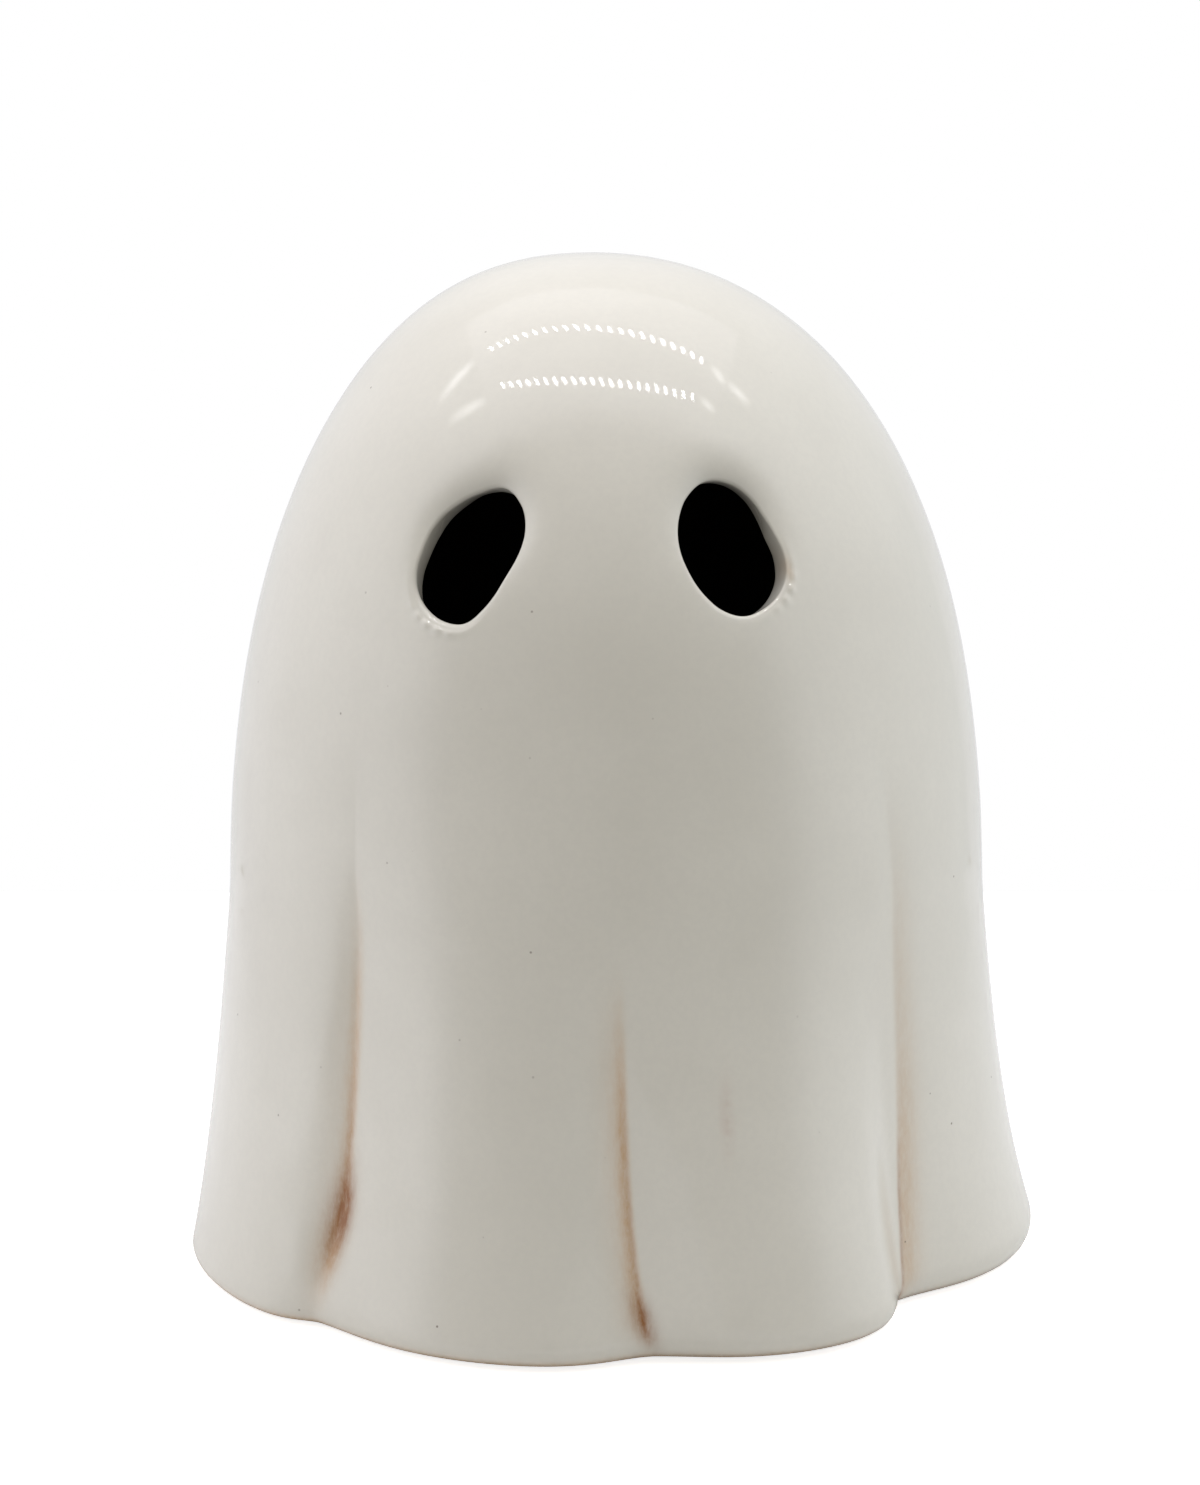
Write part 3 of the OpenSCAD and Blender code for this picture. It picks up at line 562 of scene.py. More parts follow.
# Strength, distances, how far to the right, middle's height, half height, half width, slant. The last
# tan spot is a trace on the right eye's rim, and the last brown one is painted shadow in the hem's
# notch at the right fold's foot.
RIM_ANGLE, PINK_ANGLE = 32.2, 16.9
TAN_SPOTS = [
    (0.50, from_left, -0.1, 11.5, 7.0, 1.9, 0.07),
    (0.35, across(angle_of, RIM_ANGLE), 0.0, 98.8, 1.6, 0.7, 0.0),
]
BROWN_SPOTS = [
    (1.2, from_left, 0.2, 14.8, 5.4, 1.6, 0.07),
    (0.78, from_middle, -0.05, 5.4, 3.1, 1.25, -0.06),
    (0.8, from_right, -0.3, 1.2, 1.6, 0.7, 0.0),
]
PINK_SPOTS = [(0.36, across(angle_of, PINK_ANGLE), 0.0, 31.0, 4.2, 0.85, 0.0)]
# Strength of the tan line round the hem's lowest edge, where it starts, and its height
HEM_TAN, HEM_TAN_LOW, HEM_TAN_H = 0.9, 0.1, 0.7


def stains_and_painted_shade(smears, spots):
    total = np.zeros(len(z))
    for strength, distance, shift, widths, heights in smears:
        total += strength * smear(distance - shift, *widths) * hump(z, *heights)
    for strength, distance, shift, middle, height, width, slant in spots:
        total += strength * spot(distance - shift, z, middle, height, width, slant)
    return total


hem_line = np.exp(-(np.maximum(z - HEM_TAN_LOW, 0) / HEM_TAN_H) ** 2)
tan = np.clip(stains_and_painted_shade(TAN_SMEARS, TAN_SPOTS) + HEM_TAN * hem_line, 0, 1)
brown = np.clip(stains_and_painted_shade(BROWN_SMEARS, BROWN_SPOTS), 0, 1)
pink = stains_and_painted_shade([], PINK_SPOTS)
on_face = marks == MARK_OUTER

inward = np.stack([-np.sin(np.radians(angle_of)), np.cos(np.radians(angle_of)), 0 * angle_of], -1)
fade = np.clip((SHELL_H - z) / RIPPLE_TOP, 0, 1) * np.clip(z / RIPPLE_HEM, 0, 1)
wobble = RIPPLE_DEPTH * ripple(points) * fade * on_face
points = points + inward * wobble[:, None]


def new_mesh(name, verts, quads):
    """A mesh in metres, its faces turned outwards."""
    data = bpy.data.meshes.new(name)
    data.from_pydata(verts.tolist(), [], quads)
    work = bmesh.new()
    work.from_mesh(data)
    bmesh.ops.recalc_face_normals(work, faces=work.faces)
    work.to_mesh(data)
    work.free()
    return data


def new_object(name, data):
    made = bpy.data.objects.new(name, data)
    bpy.context.scene.collection.objects.link(made)
    return made


def give_values(data, name, values):
    """A number for each vertex, which a material reads by its name."""
    data.attributes.new(name, "FLOAT", "POINT").data.foreach_set("value", values.astype(np.float32))


mesh = new_mesh("ghost_glaze", points * MM, faces)
mesh.polygons.foreach_set("use_smooth", np.ones(len(mesh.polygons), bool))
for name, values in (("tan", tan * on_face), ("brown", brown * on_face), ("pink", pink * on_face),
                     ("dark", painted_shade), ("foot", (marks == MARK_FOOT) * 1.0)):
    give_values(mesh, name, values)
mesh.update()
ghost = new_object("ghost_glazed_shell", mesh)
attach(ghost, "shell")
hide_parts("ghost_shell")


# Materials
class Shader:
    """A node material with short ways to make its nodes."""

    def __init__(self, name):
        self.material = bpy.data.materials.new(name)
        self.material.use_nodes = True
        self.tree = self.material.node_tree
        self.tree.nodes.clear()
        self.bsdf = self.node("ShaderNodeBsdfPrincipled")
        output = self.node("ShaderNodeOutputMaterial")
        self.tree.links.new(self.bsdf.outputs["BSDF"], output.inputs["Surface"])

    def node(self, kind, **settings):
        made = self.tree.nodes.new(kind)
        for key, value in settings.items():
            setattr(made, key, value)
        return made

    def put(self, socket, value):
        """Links an output to a socket, or sets the socket's own value."""
        if isinstance(value, bpy.types.NodeSocket):
            self.tree.links.new(value, socket)
        else:
            socket.default_value = value

    def feed(self, made, **values):
        """Feeds a node's sockets by their names, with _ for a space."""
        for key, value in values.items():
            self.put(made.inputs[key.replace("_", " ")], value)
        return made

    def surface(self, **values):
        self.feed(self.bsdf, **values)

    def where(self):
        return self.node("ShaderNodeTexCoord").outputs["Object"]

    def attribute(self, name):
        return self.node("ShaderNodeAttribute", attribute_name=name).outputs["Fac"]

    def noise(self, scale, detail=2.0, rough=0.5, stretch=(1, 1, 1)):
        """Noise with features of about 1 / scale metres."""
        mapping = self.feed(self.node("ShaderNodeMapping"), Vector=self.where(), Scale=stretch)
        made = self.feed(self.node("ShaderNodeTexNoise"), Vector=mapping.outputs["Vector"], Scale=scale,
                         Detail=detail, Roughness=rough)
        return made.outputs["Fac"]

    def cells(self, scale, **settings):
        return self.feed(self.node("ShaderNodeTexVoronoi", **settings), Vector=self.where(), Scale=scale)

    def maths(self, operation, a, b=0.0, clamp=False):
        made = self.node("ShaderNodeMath", operation=operation, use_clamp=clamp)
        self.put(made.inputs[0], a)
        self.put(made.inputs[1], b)
        return made.outputs[0]

    def span(self, value, low, high, to_low=0.0, to_high=1.0, soft=True):
        made = self.node("ShaderNodeMapRange", interpolation_type="SMOOTHSTEP" if soft else "LINEAR")
        self.feed(made, Value=value, From_Min=low, From_Max=high, To_Min=to_low, To_Max=to_high)
        return made.outputs["Result"]

    def blend(self, share, a, b):
        a, b = (c if isinstance(c, bpy.types.NodeSocket) else (*c, 1.0) for c in (a, b))
        made = self.feed(self.node("ShaderNodeMix", data_type="RGBA"), Factor=share, A=a, B=b)
        return made.outputs["Result"]

    def relief(self, height, strength, distance):
        made = self.feed(self.node("ShaderNodeBump"), Strength=strength, Distance=distance, Height=height)
        self.surface(Normal=made.outputs["Normal"])


GLAZE_LOW, GLAZE_HIGH, GLAZE_GREY = (0.738, 0.71, 0.642), (0.778, 0.75, 0.682), (0.64, 0.62, 0.58)
TAN_TINT, PINK_TINT, BROWN_TINT = (0.62, 0.42, 0.25), (0.58, 0.42, 0.36), (0.31, 0.13, 0.047)
# Colour of the bare foot, and the near-black painted shade inside the shell and round the eyes
BARE_TINT, PAINTED_SHADE_TINT = (0.70, 0.62, 0.53), (0.012, 0.009, 0.008)
# Scale of the grid of specks, share of its cells without one, size in a cell, and colour
SPECKS = ((330, 0.86, 0.07, (0.14, 0.09, 0.06)), (140, 0.93, 0.035, (0.10, 0.06, 0.04)))


def ceramic():
    """Glossy off-white glaze with iron stains, small specks and a bare foot, and near-black painted shade
    inside and round the eyes.
    """
    s = Shader("glazed_ceramic")
    base = s.blend(s.span(s.noise(30, 3.0, 0.55), 0.35, 0.65), GLAZE_LOW, GLAZE_HIGH)
    base = s.blend(s.span(s.noise(1000, 2.0, 0.6), 0.35, 0.65, 0.0, 0.10), base, GLAZE_GREY)
    grain = s.noise(1500, 3.0, 0.7, (1, 1, 0.35))
    broken = s.span(grain, 0.25, 0.75, 0.6, 1.2, soft=False)
    tan_share = s.maths("MULTIPLY", s.attribute("tan"), broken, clamp=True)
    base = s.blend(tan_share, base, TAN_TINT)
    patchy = s.span(s.noise(260, 3.0, 0.6), 0.3, 0.6)
    pink_share = s.maths("MULTIPLY", s.attribute("pink"), patchy, clamp=True)
    base = s.blend(pink_share, base, PINK_TINT)
    brown_share = s.maths("MULTIPLY", s.attribute("brown"), broken, clamp=True)
    base = s.blend(brown_share, base, BROWN_TINT)
    for scale, rare, size, tint in SPECKS:
        base = s.blend(speck_share(s, scale, rare, size), base, tint)
    base = s.blend(s.attribute("foot"), base, BARE_TINT)
    # Painted shade, from the dark attribute: near black inside and deepening into the eyes
    base = s.blend(s.attribute("dark"), base, PAINTED_SHADE_TINT)
    raw = s.maths("ADD", s.attribute("dark"), s.attribute("foot"), clamp=True)
    rough = s.span(s.noise(120, 2.0, 0.5), 0.3, 0.7, 0.035, 0.055)
    rough = s.maths("ADD", rough, s.maths("MULTIPLY", raw, 0.65), clamp=True)
    s.surface(Base_Color=base, Roughness=rough, IOR=1.5, Specular_IOR_Level=0.5)
    s.relief(s.noise(120, 1.0, 0.5), 0.01, 0.0002)
    return s.material


def speck_share(s, scale, rare, size):
    """Small soft dots in few of the cells of a grid, some darker than others."""
    specks = s.cells(scale)
    dot = s.span(specks.outputs["Distance"], size * 0.4, size, 1.0, 0.0)
    pick = s.feed(s.node("ShaderNodeSeparateColor"), Color=specks.outputs["Color"])
    chosen = s.span(pick.outputs[0], rare, rare + 0.01)
    dark = s.span(pick.outputs[1], 0.0, 1.0, 0.1, 0.8, soft=False)
    return s.maths("MULTIPLY", s.maths("MULTIPLY", dot, chosen), dark)


ghost.data.materials.append(ceramic())


def plastic(name, colour, rough, grain=1400, depth=0.25):
    s = Shader(name)
    tone = s.noise(60, 3.0, 0.5)
    darker = tuple(c * 0.9 for c in colour)
    s.surface(Base_Color=s.blend(s.span(tone, 0.3, 0.7), darker, colour),
              Roughness=s.span(s.noise(420, 2.0, 0.6), 0.3, 0.7, rough - 0.06, rough + 0.08), IOR=1.47)
    s.relief(s.noise(grain, 3.0, 0.6), depth, 0.00008)
    return s.material


def metal(name, colour, rough, brushed=(1, 1, 1)):
    s = Shader(name)
    streak = s.noise(700, 3.0, 0.6, brushed)
    darker = tuple(c * 0.8 for c in colour)
    s.surface(Base_Color=s.blend(s.span(streak, 0.3, 0.7), darker, colour), Metallic=1.0,
              Roughness=s.span(streak, 0.3, 0.7, rough - 0.05, rough + 0.1))
    s.relief(streak, 0.15, 0.00004)
    return s.material


def rubber(name, colour):
    s = Shader(name)
    dust = s.noise(240, 4.0, 0.65)
    lighter = tuple(min(c * 1.5 + 0.02, 1) for c in colour)
    s.surface(Base_Color=s.blend(s.span(dust, 0.45, 0.8, 0.0, 0.6), colour, lighter),
              Roughness=s.span(dust, 0.2, 0.8, 0.6, 0.85), IOR=1.5)
    s.relief(s.noise(2200, 2.0, 0.5), 0.3, 0.00006)
    return s.material


def board_material():
    s = Shader("green_board")
    weave = s.noise(1800, 1.0, 0.4, (1, 0.2, 1))
    tracks = s.cells(420, distance="MANHATTAN")
    copper = s.span(tracks.outputs["Distance"], 0.62, 0.68)
    green = s.blend(s.span(weave, 0.3, 0.7), (0.012, 0.11, 0.04), (0.02, 0.15, 0.06))
    s.surface(Base_Color=s.blend(copper, green, (0.05, 0.24, 0.08)),
              Roughness=s.span(weave, 0.3, 0.7, 0.22, 0.34), IOR=1.5)
    s.relief(copper, 0.3, 0.00005)
    return s.material


def lens_material():
    s = Shader("lamp_epoxy")
    cloud = s.noise(500, 2.0, 0.5)
    s.surface(Base_Color=s.blend(s.span(cloud, 0.3, 0.7), (0.86, 0.80, 0.58), (0.93, 0.90, 0.74)),
              Roughness=s.span(cloud, 0.3, 0.7, 0.06, 0.12), IOR=1.55, Transmission_Weight=0.35)
    s.relief(s.noise(900, 1.0, 0.4), 0.1, 0.00003)
    return s.material


# Middle of the resistor in metres, and its bands: how far from the middle, and colour
RESISTOR_X = -0.006
BANDS = ((-0.00115, (0.35, 0.12, 0.02)), (-0.00045, (0.01, 0.01, 0.01)), (0.00025, (0.35, 0.03, 0.02)),
         (0.00115, (0.55, 0.38, 0.08)))
BAND_HALF, BAND_SOFT = 0.00015, 0.00019


def banded_material():
    """The resistor's lacquer with its four colour bands."""
    s = Shader("resistor_lacquer")
    xyz = s.feed(s.node("ShaderNodeSeparateXYZ"), Vector=s.where())
    colour = s.blend(s.span(s.noise(900, 2.0, 0.5), 0.3, 0.7), (0.52, 0.37, 0.18), (0.60, 0.45, 0.25))
    for offset, tint in BANDS:
        away = s.maths("ABSOLUTE", s.maths("SUBTRACT", xyz.outputs["X"], RESISTOR_X + offset))
        colour = s.blend(s.span(away, BAND_HALF, BAND_SOFT, 1.0, 0.0), colour, tint)
    s.surface(Base_Color=colour, Roughness=s.span(s.noise(700, 2.0, 0.5), 0.3, 0.7, 0.2, 0.32))
    s.relief(s.noise(1500, 2.0, 0.5), 0.2, 0.00004)
    return s.material


nickel = metal("nickel", (0.68, 0.66, 0.62), 0.28, (1, 8, 1))
# The materials of the nodes that keep the CAD's mesh, and of the negative contact's new pieces
looks = [
    (rubber("pad_rubber", (0.55, 0.54, 0.50)), ("foot_pad_front_left", "foot_pad_front_right",
                                                "foot_pad_back_left", "foot_pad_back_right")),
    (plastic("housing_plastic", (0.80, 0.79, 0.75), 0.48), ("light_housing", "base_plate", "battery_door")),
    (rubber("ring_rubber", (0.03, 0.03, 0.03)), ("grip_ring",)),
    (metal("zinc_steel", (0.70, 0.70, 0.72), 0.24), ("housing_screws", "door_screw")),
    (board_material(), ("circuit_board",)),
    (lens_material(), ("lamp",)),
    (metal("tinned_lead", (0.72, 0.72, 0.73), 0.2), ("lamp_leads",)),
    (banded_material(), ("resistor",)),
    (plastic("switch_plastic", (0.025, 0.025, 0.027), 0.42), ("switch_body", "switch_slider")),
    (metal("bright_brass", (0.80, 0.62, 0.30), 0.2), ("switch_pins",)),
    (metal("cell_steel", (0.74, 0.74, 0.76), 0.2, (1, 1, 6)), ("cell_1", "cell_2", "cell_3")),
    (nickel, ("positive_contact", "negative_contact")),
]
for material, names in looks:
    for name in names:
        data = nodes[name].data
        if not data.materials:
            data.materials.append(material)
        for k in range(len(data.materials)):
            data.materials[k] = material


# Wires and the contact spring
TUBE_FINER, TUBE_SMOOTHINGS = 3, 3


def smooth_tube(name, path, radius, material, sides=12):
    """A round tube along a smooth path, with flat ends, as a mesh."""
    path = np.array(path, float)
    run = np.concatenate([[0], np.cumsum(np.linalg.norm(np.diff(path, axis=0), axis=1))])
    at = np.linspace(0, run[-1], len(path) * TUBE_FINER)
    path = np.stack([np.interp(at, run, path[:, k]) for k in range(3)], -1)
    for _ in range(TUBE_SMOOTHINGS):
        path[1:-1] = (path[:-2] + 2 * path[1:-1] + path[2:]) / 4
    verts, quads = [], []
    side = np.array([1.0, 0, 0])
    for i, p in enumerate(path):
        t = path[min(i + 1, len(path) - 1)] - path[max(i - 1, 0)]
        t = t / np.linalg.norm(t)
        u = np.cross(side, t)
        u /= np.linalg.norm(u)
        v = np.cross(t, u)
        for k in range(sides):
            a = 2 * math.pi * k / sides
            verts.append(p + radius * (math.cos(a) * u + math.sin(a) * v))
    loops = [range(first, first + sides) for first in range(0, len(verts), sides)]
    for one, next_one in zip(loops, loops[1:]):
        quads += ring_quads(one, next_one)
    quads += [tuple(loops[0]), tuple(loops[-1])[::-1]]
    data = new_mesh(name, np.array(verts) * MM, quads)
    data.polygons.foreach_set("use_smooth", [len(p.vertices) == 4 for p in data.polygons])
    data.materials.append(material)
    return new_object(name, data)


def curve(a, b, c, d, steps=8):
    a, b, c, d = (np.array(p, float) for p in (a, b, c, d))
    return [(1 - t) ** 3 * a + 3 * (1 - t) ** 2 * t * b + 3 * (1 - t) * t ** 2 * c + t ** 3 * d
            for t in np.linspace(0, 1, steps + 1)]


# The unit's levels and places, from the part's source
BAY_W, BAY_Y, BAY_WALL, FIT = 12.2, 3.5, 1.2, 0.1
CELL_Z, BOARD_LIFT, BOARD_T, PIN_PITCH = 10.1, 1.2, 1.0, 2.5
WIRE_R, WIRE_LOOP, WIRE_INSET = 0.4, 1.6, 1.2
CONTACT_T, CONTACT_W, TAB_W, CONTACT_TOP, CONTACT_BEVEL = 0.4, 7.0, 2.0, 15.8, 0.06
board_low, board_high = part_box("circuit_board")
BOARD_Z, BOARD_TOP = board_low.z / MM, board_high.z / MM
BAY_TOP = BOARD_Z - BOARD_LIFT
BAY_FRONT = BAY_Y - BAY_W / 2
pins_low, pins_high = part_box("switch_pins")
SWITCH_Y, PIN_TOP = (pins_low.y + pins_high.y) / 2 / MM, pins_high.z / MM
contact_low, contact_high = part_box("positive_contact")
CONTACT_X = (contact_low.x + contact_high.x) / 2 / MM


def tab_end(side):
    return np.array([side * CONTACT_X, BAY_Y - TAB_W / 2 - FIT, BAY_TOP + BOARD_LIFT / 2])


def pin_end(k):
    return np.array([k * PIN_PITCH, SWITCH_Y, PIN_TOP + FIT])


def board_edge(x):
    return np.array([x, BAY_FRONT - BAY_WALL - FIT - 2 * WIRE_R, BOARD_Z + BOARD_T / 2])


def over_edge(x):
    end = np.array([x, BAY_FRONT - BAY_WALL + WIRE_INSET, BOARD_TOP + FIT])
    up = np.array([0, 0, WIRE_LOOP])
    return curve(board_edge(x), board_edge(x) + up, end + up, end)


def along(*vector):
    return np.array(vector, float)


# Where the red and the white wire reach the board
RED_X, WHITE_X = 8.5, -4.5
red_path = curve(tab_end(1), tab_end(1) - along(0, BAY_W / 2, 0),
                 board_edge(RED_X) - along(0, 0, BOARD_LIFT), board_edge(RED_X)) + over_edge(RED_X)[1:]
black_path = curve(tab_end(-1), tab_end(-1) - along(0, BAY_W, 0),
                   pin_end(-1) + along(0, 0, BAY_W / 2), pin_end(-1))
white_path = curve(pin_end(0), pin_end(0) + along(0, 0, BAY_W / 4),
                   board_edge(WHITE_X) - along(0, 0, BAY_W / 3), board_edge(WHITE_X)) + over_edge(WHITE_X)[1:]
for colour, path, tint in (("red", red_path, (0.50, 0.02, 0.015)),
                           ("black", black_path, (0.015, 0.015, 0.015)),
                           ("white", white_path, (0.75, 0.74, 0.71))):
    name = colour + "_wire"
    made = smooth_tube(name + "_run", path, WIRE_R, plastic(name + "_pvc", tint, 0.34, 900, 0.15))
    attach(made, "light_unit")
    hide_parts(name)


def contact_plate_mesh(name, x, outline, thickness, material):
    """A flat metal plate across X, with its edges just broken."""
    data = bpy.data.meshes.new(name)
    work = bmesh.new()
    face = work.faces.new([work.verts.new((x * MM, y * MM, z * MM)) for y, z in outline])
    pulled = bmesh.ops.extrude_face_region(work, geom=[face])
    moved = [v for v in pulled["geom"] if isinstance(v, bmesh.types.BMVert)]
    bmesh.ops.translate(work, verts=moved, vec=(thickness * MM, 0, 0))
    bmesh.ops.recalc_face_normals(work, faces=work.faces)
    bmesh.ops.bevel(work, geom=work.edges[:], offset=CONTACT_BEVEL * MM, segments=2, affect="EDGES")
    work.to_mesh(data)
    work.free()
    data.materials.append(material)
    return new_object(name, data)


# The negative contact: a plate with a tab, and a conical spring wound on it
SPRING_TURNS, SPRING_STEPS, SPRING_SIDES = 3, 24, 10
SPRING_WIRE_R, SPRING_WIDE_R, SPRING_NARROW_R, SPRING_L = 0.25, 3.6, 1.6, 2.6
negative_low, negative_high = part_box("negative_contact")
plate_x, plate_low, plate_high = negative_low.x / MM, negative_low.z / MM, negative_high.z / MM
half, tab = CONTACT_W / 2, TAB_W / 2
plate_outline = [(BAY_Y - half, plate_low), (BAY_Y + half, plate_low), (BAY_Y + half, CONTACT_TOP),
                 (BAY_Y + tab, CONTACT_TOP), (BAY_Y + tab, plate_high), (BAY_Y - tab, plate_high),
                 (BAY_Y - tab, CONTACT_TOP), (BAY_Y - half, CONTACT_TOP)]
plate = contact_plate_mesh("negative_contact_plate", plate_x, plate_outline, CONTACT_T, nickel)
coil = []
for step in range(SPRING_TURNS * SPRING_STEPS + 1):
    share = step / (SPRING_TURNS * SPRING_STEPS)
    r = SPRING_WIDE_R + (SPRING_NARROW_R - SPRING_WIDE_R) * share
    a = 2 * math.pi * SPRING_TURNS * share
    climb = (SPRING_L - 1.5 * SPRING_WIRE_R) * share
    x = plate_x + CONTACT_T + SPRING_WIRE_R / 2 + climb
    coil.append((x, BAY_Y + r * math.cos(a), CELL_Z + r * math.sin(a)))
spring = smooth_tube("negative_contact_spring", coil, SPRING_WIRE_R, nickel, SPRING_SIDES)
for piece in (plate, spring):
    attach(piece, "light_unit")
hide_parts("negative_contact")


# Floor, light and camera
# The floor is open under the recess, so that a view from below shows the base and the light unit
FLOOR_LIFT, FLOOR_HALF, FLOOR_STEPS, FLOOR_LAP = 0.8, 0.2, 64, 1


def floor_material():
    """Matt white, a little lighter to the camera so that it runs into the white backdrop."""
    s = Shader("floor_white")
    tone = s.noise(9, 2.0, 0.5)
    white = s.blend(s.span(tone, 0.3, 0.7), (0.92, 0.92, 0.92), (0.93, 0.93, 0.93))
    seen = s.node("ShaderNodeLightPath").outputs["Is Camera Ray"]
    s.surface(Base_Color=white, Roughness=0.8, Emission_Color=(1, 1, 1, 1),
              Emission_Strength=s.maths("MULTIPLY", seen, FLOOR_LIFT))
    return s.material


hole_r = (RECESS_R - FLOOR_LAP) * MM
turns = [2 * math.pi * (k + 0.5) / FLOOR_STEPS for k in range(FLOOR_STEPS)]
inner_edge = [(hole_r * math.cos(a), hole_r * math.sin(a), 0) for a in turns]
outer_edge = []
for a in turns:
    reach = FLOOR_HALF / max(abs(math.cos(a)), abs(math.sin(a)))
    outer_edge.append((reach * math.cos(a), reach * math.sin(a), 0))
floor_faces = ring_quads(range(FLOOR_STEPS, 2 * FLOOR_STEPS), range(FLOOR_STEPS))
floor_mesh = bpy.data.meshes.new("floor")
floor_mesh.from_pydata(inner_edge + outer_edge, [], floor_faces)
floor = new_object("floor", floor_mesh)
floor_mesh.materials.append(floor_material())

scene = bpy.context.scene
view = scene.view_settings
view.view_transform = "Standard"
view.look = "None"
view.exposure, view.gamma = 0, 1

# Round the ghost stands a small light tent, seen only in its light and its reflections. A wall's
# levels are its brightness at places even along it, row by row, from the front or the left.
TENT_X, TENT_FRONT, TENT_BACK, TENT_TOP = 0.2, -0.2, 0.2, 0.395
AHEAD, UP, ASIDE = (0, TENT_BACK - TENT_FRONT, 0), (0, 0, TENT_TOP), (2 * TENT_X, 0, 0)
ROOM_GLOW, ROOM_TINT = 0.325, (1.03, 1, 0.88)
SOFT_FRONT, BELOW_Z = 0.1, -0.25
WALL_CELLS, STREAK_CELLS = 20, 8
WHITE = (1, 1, 1)
# The tiny lamps: how many, how bright, half their sizes, their slant and how far below the roof
BEADS, BEAD_GLOW = 22, 45.0
BEAD_HALF_X, BEAD_HALF_Y, BEAD_SLANT, BEAD_DROP = 0.0018, 0.007, 0.002, 0.002
STREAK_W, STREAK_LOW, STREAK_GLOW = 0.03, 1.1, 3.8


def glow_material(name, strength, tint):
    s = Shader(name)
    glow = s.maths("MULTIPLY", s.attribute("glow"), strength)
    emit = s.feed(s.node("ShaderNodeEmission"), Color=(*tint, 1), Strength=glow)
    output = next(n for n in s.tree.nodes if n.type == "OUTPUT_MATERIAL")
    s.put(output.inputs["Surface"], emit.outputs[0])
    s.tree.nodes.remove(s.bsdf)
    return s.material


def from_front(share):
    """How far a wall has reached its own brightness, at a share of the tent's depth from its front."""
    t = np.clip(share * (TENT_BACK - TENT_FRONT) / SOFT_FRONT, 0, 1)
    return t * t * (3 - 2 * t)


def glow_piece(name, verts, quads, glow, strength, tint):
    """A piece of the tent, seen only in its light and its reflections."""
    data = bpy.data.meshes.new(name)
    data.from_pydata(np.array(verts).tolist(), [], quads)
    give_values(data, "glow", glow)
    data.materials.append(glow_material(name, strength, tint))
    made = new_object(name, data)
    made.visible_camera = False
    made.visible_shadow = False


def grid_quads(cells):
    """The faces of a square grid of vertices."""
    n = cells + 1
    return [(i * n + j, i * n + j + 1, (i + 1) * n + j + 1, (i + 1) * n + j)
            for i in range(cells) for j in range(cells)]


def tent_wall(name, corner, along_u, along_v, tint, levels):
    """A flat wall whose brightness runs evenly between the levels, given row by row along v."""
    levels = np.array(levels)
    corner, along_u, along_v = (np.array(p, float) for p in (corner, along_u, along_v))
    share = np.linspace(0, 1, WALL_CELLS + 1)
    rows, cols = np.linspace(0, 1, levels.shape[0]), np.linspace(0, 1, levels.shape[1])
    wide = np.array([np.interp(share, cols, row) for row in levels])
    glow = np.array([np.interp(share, rows, wide[:, k]) for k in range(WALL_CELLS + 1)]).T.ravel()
    verts = [corner + u * along_u + v * along_v for v in share for u in share]
    own = from_front((np.array(verts)[:, 1] - TENT_FRONT) / (TENT_BACK - TENT_FRONT))
    glow = glow * own + ROOM_GLOW * (1 - own)
    glow_piece(name, verts, grid_quads(WALL_CELLS), glow, 1.0, tint)


# Corner, the two sides from it, tint and levels. The wall below the floor lights the base through
# the floor's hole.
WALLS = {
    "left": ((-TENT_X, TENT_FRONT, 0), AHEAD, UP, (1, 1, 1.035),
             [[1.60, 1.28, 0.76, 0.75], [1.40, 1.20, 0.83, 0.70]]),
    "right": ((TENT_X, TENT_FRONT, 0), AHEAD, UP, (0.97, 1, 1.02),
              [[1.17, 1.20, 0.82, 0.69], [1.19, 1.14, 0.82, 0.66]]),
    "back": ((-TENT_X, TENT_BACK, 0), ASIDE, UP, (0.99, 1, 1.02), [[0.82, 0.81], [0.61, 0.65]]),
    "roof": ((-TENT_X, TENT_FRONT, TENT_TOP), ASIDE, AHEAD, (1.015, 1, 1.04),
             [[1.55, 1.48], [1.40, 1.30], [1.15, 1.10]]),
    "below": ((-TENT_X, TENT_FRONT, BELOW_Z), ASIDE, AHEAD, WHITE, [[1.3, 1.3], [1.3, 1.3]]),
}
for name, wall in WALLS.items():
    tent_wall("tent_" + name, *wall)


def bead_strip(name, left, middle, right):
    """A row of small bright lamps under the tent's roof, along a smooth line through three places."""
    left, middle, right = (np.array(place) for place in (left, middle, right))
    verts, quads = [], []
    half_x, half_y, slant = BEAD_HALF_X, BEAD_HALF_Y, BEAD_SLANT
    z = TENT_TOP - BEAD_DROP
    for share in np.linspace(-1, 1, BEADS):
        x, y = middle + (right - left) / 2 * share + (right + left - 2 * middle) / 2 * share ** 2
        k = len(verts)
        verts += [(x - half_x + slant, y - half_y, z), (x - half_x - slant, y + half_y, z),
                  (x + half_x - slant, y + half_y, z), (x + half_x + slant, y - half_y, z)]
        quads.append((k, k + 1, k + 2, k + 3))
    glow_piece(name, verts, quads, np.ones(len(verts)), BEAD_GLOW, WHITE)


bead_strip("beads_back", (-0.165, 0.050), (-0.0075, 0.034), (0.150, 0.025))
bead_strip("beads_front", (-0.165, -0.048), (-0.0075, -0.0885), (0.150, -0.066))


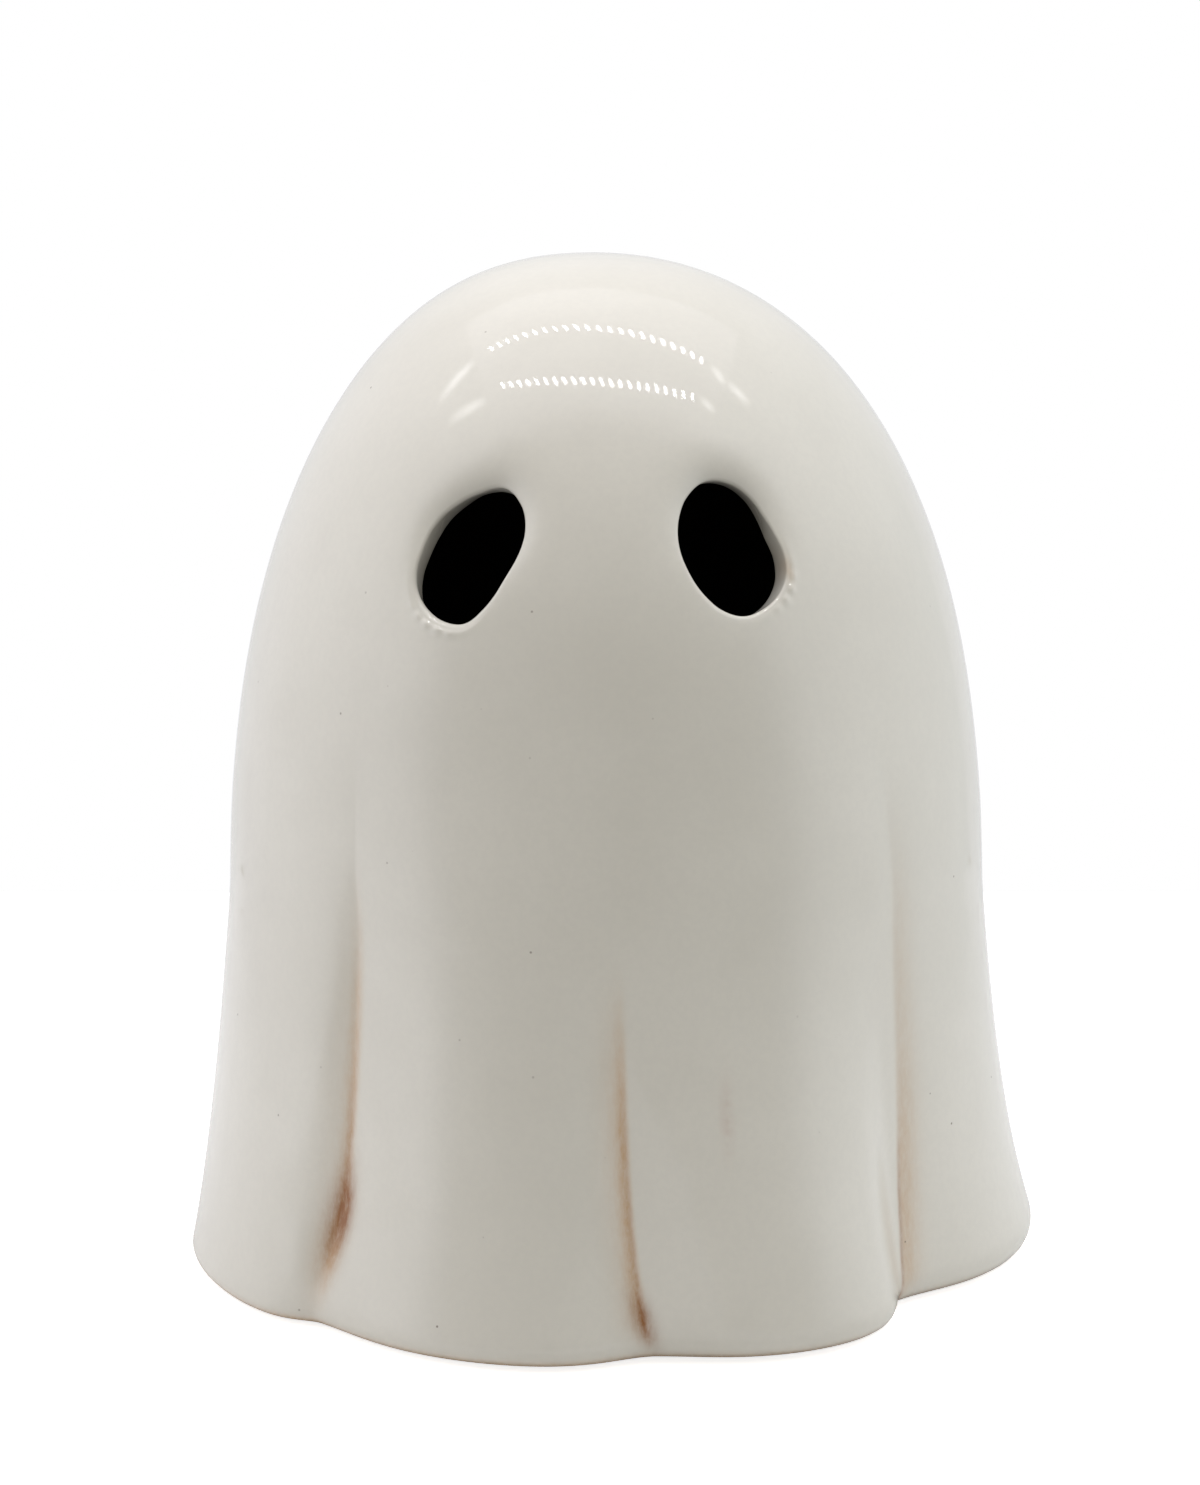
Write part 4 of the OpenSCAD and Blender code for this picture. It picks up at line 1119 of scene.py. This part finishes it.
def glow_streak(name, start, end, normal):
    """A soft streak of light, 1 mm in front of a wall of the tent, brightest along its middle."""
    start, end, normal = (np.array(p, float) for p in (start, end, normal))
    along_u = end - start
    along_v = np.cross(normal, along_u) / np.linalg.norm(along_u) * STREAK_W
    share = np.linspace(0, 1, STREAK_CELLS + 1)
    verts = [start + normal * MM + u * along_u + (v - 0.5) * along_v for v in share for u in share]
    glow = STREAK_LOW + STREAK_GLOW * np.outer(np.sin(math.pi * share) ** 2, np.sin(math.pi * share))
    glow_piece(name, verts, grid_quads(STREAK_CELLS), glow.ravel(), 1.0, WHITE)


# Folds of the tent's cloth catch the light in its upper corners
glow_streak("streak_left_back", (-TENT_X, 0.048, 0.392), (-TENT_X, 0.010, 0.285), (1, 0, 0))
glow_streak("streak_left_front", (-TENT_X, -0.058, 0.392), (-TENT_X, -0.030, 0.285), (1, 0, 0))
glow_streak("streak_right_back", (TENT_X, 0.010, 0.394), (TENT_X, -0.006, 0.325), (-1, 0, 0))
glow_streak("streak_roof_back", (0.168, 0.030, TENT_TOP), (0.199, -0.002, TENT_TOP), (0, 0, -1))
glow_streak("streak_roof_front", (0.162, -0.060, TENT_TOP), (0.199, -0.073, TENT_TOP), (0, 0, -1))

# The room outside the tent is dim, and the camera sees a white backdrop
world = bpy.data.worlds.new("room")
scene.world = world
world.use_nodes = True
sky = world.node_tree
sky.nodes.clear()
seen = sky.nodes.new("ShaderNodeLightPath")
either = sky.nodes.new("ShaderNodeMixShader")
sky.links.new(seen.outputs["Is Camera Ray"], either.inputs[0])
for socket, tint, strength in ((1, ROOM_TINT, ROOM_GLOW), (2, WHITE, 1.0)):
    glow = sky.nodes.new("ShaderNodeBackground")
    glow.inputs["Color"].default_value = (*tint, 1)
    glow.inputs["Strength"].default_value = strength
    sky.links.new(glow.outputs[0], either.inputs[socket])
sky.links.new(either.outputs[0], sky.nodes.new("ShaderNodeOutputWorld").inputs["Surface"])

camera_data = bpy.data.cameras.new("camera")
camera_data.sensor_fit = "AUTO"
camera = new_object("camera", camera_data)
TARGET = Vector((-0.00084, 0.0, 0.06943))
DISTANCE, ELEVATION = 0.6, math.radians(11.75)
PIXELS_PER_MM = 7.435
camera.location = TARGET + Vector((0, -math.cos(ELEVATION), math.sin(ELEVATION))) * DISTANCE
camera.rotation_euler = (math.pi / 2 - ELEVATION, 0, 0)
# The frame is 1200 by 1485, so the sensor's width is the picture's height
FRAME_PIXELS = 1485
FRAME_HEIGHT = FRAME_PIXELS / PIXELS_PER_MM * MM
camera_data.lens = camera_data.sensor_width * DISTANCE / FRAME_HEIGHT
camera_data.clip_start, camera_data.clip_end = 0.05, 20
camera_data.dof.use_dof = False
scene.camera = camera
